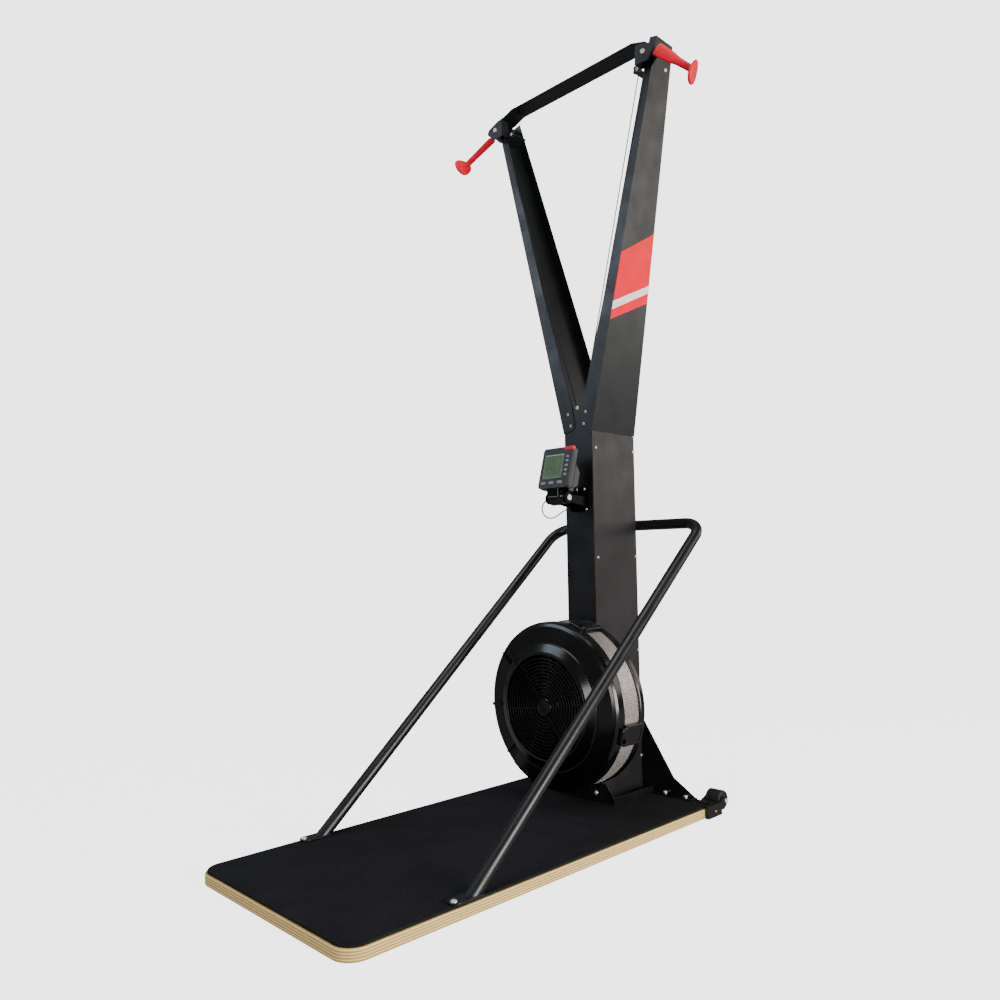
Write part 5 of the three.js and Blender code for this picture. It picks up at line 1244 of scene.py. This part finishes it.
refined("monitor_bezel", slate_abs, "monitor", 0.8, 3)
neck_aim = MONITOR_TURN @ Vector((0, 0, 1))
shell_foot = on_monitor(0, SHELL_FOOT)
back_shell = refined("monitor_back", grey_abs, "monitor", 1.2, 3, "monitor_back_shell",
                     (shell_foot, neck_aim))
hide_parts("monitor_back")
refined("monitor_back", gloss_abs, "monitor", 0.8, 3, "monitor_hinge_neck",
        (shell_foot, -neck_aim))
mounted(turned_piece("monitor_hinge_barrel", filleted([
    (5.4, -29), (18, -29, 2), (21, -24, 3), (21, 14, 2), (17.2, 18, 2), (17.2, 29, 1), (5.4, 29)]),
    HINGE_PLACE, gloss_abs, aim="x", steps=72), "monitor")
hinge_block = rounded_prism("monitor_hinge_block", [(263, 934), (297, 926), (305, 905), (265.5, 905)],
                            (-28, 15), 1.5, gloss_abs, along_x=True)
mounted(hinge_block, "monitor")
pack = [on_monitor(0, up, out) for out, up in ((-29, 4), (-50, 18), (-50, 60), (-30, 78), (-29, 78))]
battery_pack = rounded_prism("monitor_battery_pack", [(p.y, p.z) for p in pack], (-52, 52), 1.2, grey_abs,
                             along_x=True)
mounted(battery_pack, "monitor")
refined("monitor_screen", display_mask, "monitor", 0.2)
refined("monitor_tab", red_polypropylene, "monitor", 1.0, 3)
# The keys take the rubber with the painted highlight; its tone drifts a little at random.
for key in ["side_key_%d" % i for i in range(1, 6)] + ["low_key_%d" % i for i in range(1, 4)]:
    refined(key, pale_highlight_key_rubber, key, 0.9, 3)

left, right = SCREEN_LEFT + CRYSTAL_MARGIN, SCREEN_RIGHT - CRYSTAL_MARGIN
low, top = SCREEN_LOW + CRYSTAL_MARGIN, SCREEN_TOP - CRYSTAL_HEAD
crystal = [on_monitor(across, up, out) for out in (-0.35, -0.22)
           for across, up in ((left, low), (right, low), (right, top), (left, top))]
mounted(new_piece("monitor_crystal", crystal, BLOCK_FACES, crystal_green), "monitor")

placed_tree, given, end = tree_with_inputs("pieces_on_points", [
    ("Piece", "Object", None), ("Material", "Material", None)])
turn_of, size_of = (add_node(placed_tree, "GeometryNodeInputNamedAttribute", {
    "Name": name}, data_type="FLOAT_VECTOR") for name in ("turn", "size"))
one_piece = add_node(placed_tree, "GeometryNodeObjectInfo", {"Object": given["Piece"]}).outputs["Geometry"]
many = add_node(placed_tree, "GeometryNodeInstanceOnPoints", {
    "Points": given["Geometry"], "Instance": one_piece, "Rotation": turn_of, "Scale": size_of})
close_tree(placed_tree, given, end, many)


def set_on_points(name, points, piece, material, body, smooth_angle=35):
    """Copies of one small piece at points of (place in millimetres, turn, size)."""
    carrier = bpy.data.meshes.new(name + "_points")
    carrier.from_pydata([tuple(place * MM) for place, _, _ in points], [], [])
    turns = carrier.attributes.new("turn", "FLOAT_VECTOR", "POINT")
    sizes = carrier.attributes.new("size", "FLOAT_VECTOR", "POINT")
    for i, (_, turn, size) in enumerate(points):
        turns.data[i].vector = tuple(turn)
        sizes.data[i].vector = size
    grown_piece(name, placed_tree, {"Piece": piece, "Material": material}, carrier, smooth_angle, body)
    bpy.data.objects.remove(piece)


SEGMENTS = {"top": (0, 1, True), "middle": (0, 0, True), "low": (0, -1, True), "upper_left": (-1, 0.5, False),
            "upper_right": (1, 0.5, False), "lower_left": (-1, -0.5, False), "lower_right": (1, -0.5, False)}
BLANKS = {0: ["middle"], 1: ["top", "middle", "low", "upper_left", "lower_left"],
          2: ["upper_left", "lower_right"], 3: ["upper_left", "lower_left"],
          5: ["upper_right", "lower_left"], 8: []}
DIGIT_ROWS = [(88, 9.5, 4.6, (0, 0, 0, 0)), (74, 8.5, 4.2, (1, 2, 5, 0)), (60.5, 8.5, 4.2, (0, 3, 8, 5)),
              (47, 8.5, 4.2, (2, 0, 1, 0, 8))]
SEGMENT_THICK = 0.12
SEGMENT_WIDTH = 1.4

bars = []  # Place across and up the display, width and height.
for height, tall, wide, digits in DIGIT_ROWS:
    for i, digit in enumerate(digits):
        heart_x = SCREEN_LEFT + 11 + i * (wide + 5.6)
        for label, (across, up, flat) in SEGMENTS.items():
            if label not in BLANKS[digit]:
                size = (wide - 1.2, SEGMENT_WIDTH) if flat else (SEGMENT_WIDTH, tall / 2 - 1.2)
                bars.append((heart_x + across * wide / 2, height + up * tall / 2, *size))
bars += [(SCREEN_LEFT + 8 + i * 9, SCREEN_TOP - 6.5, 5.5, SEGMENT_WIDTH) for i in range(7)]
for height, _, _, _ in DIGIT_ROWS:
    bars += [(SCREEN_RIGHT - 9, height + 2, 7.5, 1.2), (SCREEN_RIGHT - 10.5, height - 1.5, 4.5, 1.2)]
unit = (-0.5, 0.5)
set_on_points("monitor_segments", [
    (on_monitor(across, up, SEGMENT_OUT), MONITOR_TURN.to_euler(), (wide, SEGMENT_THICK, tall))
    for across, up, wide, tall in bars], block_shape("segment_bar", unit, unit, unit, crystal_dark),
    crystal_dark, "monitor")


# Monitor bracket and hinge pin: a folded steel wall plate with two ears, gloss
# enamelled, and a zinc-plated pin through ears and barrel.
# Stoved gloss enamel: jet black, with only a faint sheen along its folds.
gloss_enamel = finish("stoved_gloss_black_enamel", "#030304", 0.3, ("#020203", "#050506", 30),
                      (20, 0.26, 0.34), ior=1.5, specular=0.06)
# Screw zinc: drawn pale and partly diffuse as a painted highlight, so the heads show their sheen.
sheen_painted_zinc = finish("sheen_painted_screw_zinc", "#d6d2ca", 0.35, ("#cfcbc3", "#e2ded6", 4), (3, 0.3, 0.42),
                    metallic=0.55)
refined("monitor_bracket", gloss_enamel)
# The hinge pin takes the zinc with the painted sheen.
refined("monitor_hinge_pin", sheen_painted_zinc, edge_mm=0.6)


# Transport rollers: two solid polyurethane rollers behind the board, each on a
# steel axle in a moulded bracket that wraps the board's rear corner.
ROLLER_PLACE = Vector((279, 628.5, 32))
ROLLER_SIDE = [
    (5.3, -22), (11, -22), (11.6, -20.8), (19, -20.8), (20, -22), (24, -22), (26.2, -21), (27, -19)]

# Solid polyurethane: dull black, scuffed grey where it has run on floors.
polyurethane = finish("solid_black_polyurethane", "#101011", 0.6, ("#0c0c0d", "#1a1a1c", 14), (10, 0.5, 0.72),
                      (1.5, 0.08, 3.0, 0.5), ior=1.5)
roller_section = ROLLER_SIDE + [(radius, -along) for radius, along in reversed(ROLLER_SIDE)]
for word, side in SIDES.items():
    wheel = turned_piece("roller_" + word + "_wheel", roller_section, ROLLER_PLACE * Vector((side, 1, 1)),
                         polyurethane, aim="x", steps=96)
    mounted(wheel, "roller_" + word, "roller_" + word)
    refined("roller_bracket_" + word, matt_abs, edge_mm=1.2, segments=3)


# Fasteners: zinc-plated button, pan and hexagon heads and brass screws, set on
# the faces they hold. Each size is one small piece set on its points.
HEAD_STEPS = 36


def head_shape(name, radius, tall, socket, sides, outer_sides, material):
    """A screw head pointing up: a dome or a hexagon with a recess for the tool."""
    if outer_sides:
        levels = [(radius, 0, outer_sides), (radius, tall * 0.8, outer_sides), (radius * 0.9, tall, 0)]
    else:
        levels = [(radius, 0, 0), (radius, tall * 0.15, 0), (radius * 0.9, tall * 0.55, 0),
                  (radius * 0.68, tall * 0.86, 0), (radius * 0.45, tall, 0)]
    rings = []
    for size, height, count in levels + [(socket, tall, sides), (socket * 0.92, tall * 0.45, sides)]:
        ring = []
        for turn in (math.tau * i / HEAD_STEPS for i in range(HEAD_STEPS)):
            reach = size
            if count:
                half_slice = math.pi / count
                reach *= math.cos(half_slice) / math.cos(turn % (2 * half_slice) - half_slice)
            ring.append(Vector((reach * math.cos(turn), reach * math.sin(turn), height)))
        rings.append(ring)
    return new_piece(name, *skin(rings), material, 30)


def seated(node, place, aim):
    """Where a line through place along aim first meets a CAD piece from outside, if one is named."""
    if not node:
        return place
    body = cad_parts[node].data
    surface = BVHTree.FromPolygons([v.co for v in body.vertices], [p.vertices for p in body.polygons])
    spot = surface.ray_cast((place + aim * 300) * MM, -aim)[0]
    return spot / MM if spot else place


# Brass: yellow, lightly tarnished.
brass = finish("tarnished_brass", "#b98f4a", 0.35, ("#a67d3c", "#c79c55", 4), (3, 0.28, 0.45),
               metallic=1.0)

# Each screw is a head, a CAD piece, a place, an aim and a size.
FRONT, UP, BACK = Vector((0, -1, 0)), Vector((0, 0, 1)), Vector((0, 1, 0))
screws = [("button", "column_front", (x, 370, z), FRONT, 1.0) for x, z in (
    (-36.7, 1165), (-27.2, 1129.5), (31.7, 1165.5), (23.8, 1130.7), (-1.3, 1181.3))]
screws += [("pan", "monitor_bracket", (x, 374, z), FRONT, 0.8) for x, z in ((-6, 934), (22, 934), (29, 874))]
for word, side in SIDES.items():
    side_out = Vector((side, 0, 0))
    arm_out = Vector((side * math.cos(ARM_LEAN), 0, -math.sin(ARM_LEAN)))
    screws += [("pan", "side_panel_" + word, (side * 54, y, z), side_out, 0.9) for y, z in (
        (394.5, 1057), (576.5, 1058), (393.5, 732), (577.5, 733), (578.5, 447), (579.5, 130))]
    screws += [
        ("button", "arm_" + word, (side * 304.9, 440.5, 2130), arm_out, 1.0),
        ("button", "foot_tray", (side * 41, 300, 57), FRONT, 1.1),
        ("button", None, (side * 285, -385, PAD_TOP), UP, 1.25),
        ("hexagon", "pulley_housing_" + word, (side * 297, 340, 2148), FRONT, 1.1),
        ("button", "pulley_housing_" + word, (side * 254, 372, 2128), FRONT, 0.9),
        ("brass", "roller_bracket_" + word, (side * 312, 570.5, 15), side_out, 0.9),
        ("button", "roller_bracket_" + word, (side * 306, 628.5, 32), side_out, 1.1),
        ("hexagon", "rear_gusset", (side * 140, 575, 40), UP, 0.9),
        ("hexagon", "rear_gusset", (side * 210, 575, 40), UP, 0.9),
        ("button", "rear_gusset", (side * 28, 590, 225), BACK, 0.9)]
screws += [("button", "hoop_saddle", (0, 590, z), BACK, 0.9) for z in (786, 872)]

# The zinc heads take the painted sheen; the brass keeps its own colour.
for kind, name, shape, metal in (
        ("button", "button_heads", (6, 3.4, 2.2, 6, 0), sheen_painted_zinc),
        ("pan", "pan_heads", (4.6, 2.6, 1.7, 4, 0), sheen_painted_zinc),
        ("hexagon", "hexagon_heads", (6.5, 4.2, 2.2, 0, 6), sheen_painted_zinc),
        ("brass", "brass_screws", (4.6, 2.2, 1.9, 4, 0), brass)):
    points = [(seated(node, Vector(place), aim), aim.to_track_quat("Z", "Y").to_euler(), (size,) * 3)
              for head, node, place, aim, size in screws if head == kind]
    head = head_shape("head_for_" + name, *shape, metal)
    set_on_points(name, points, head, metal, "frame", 30)
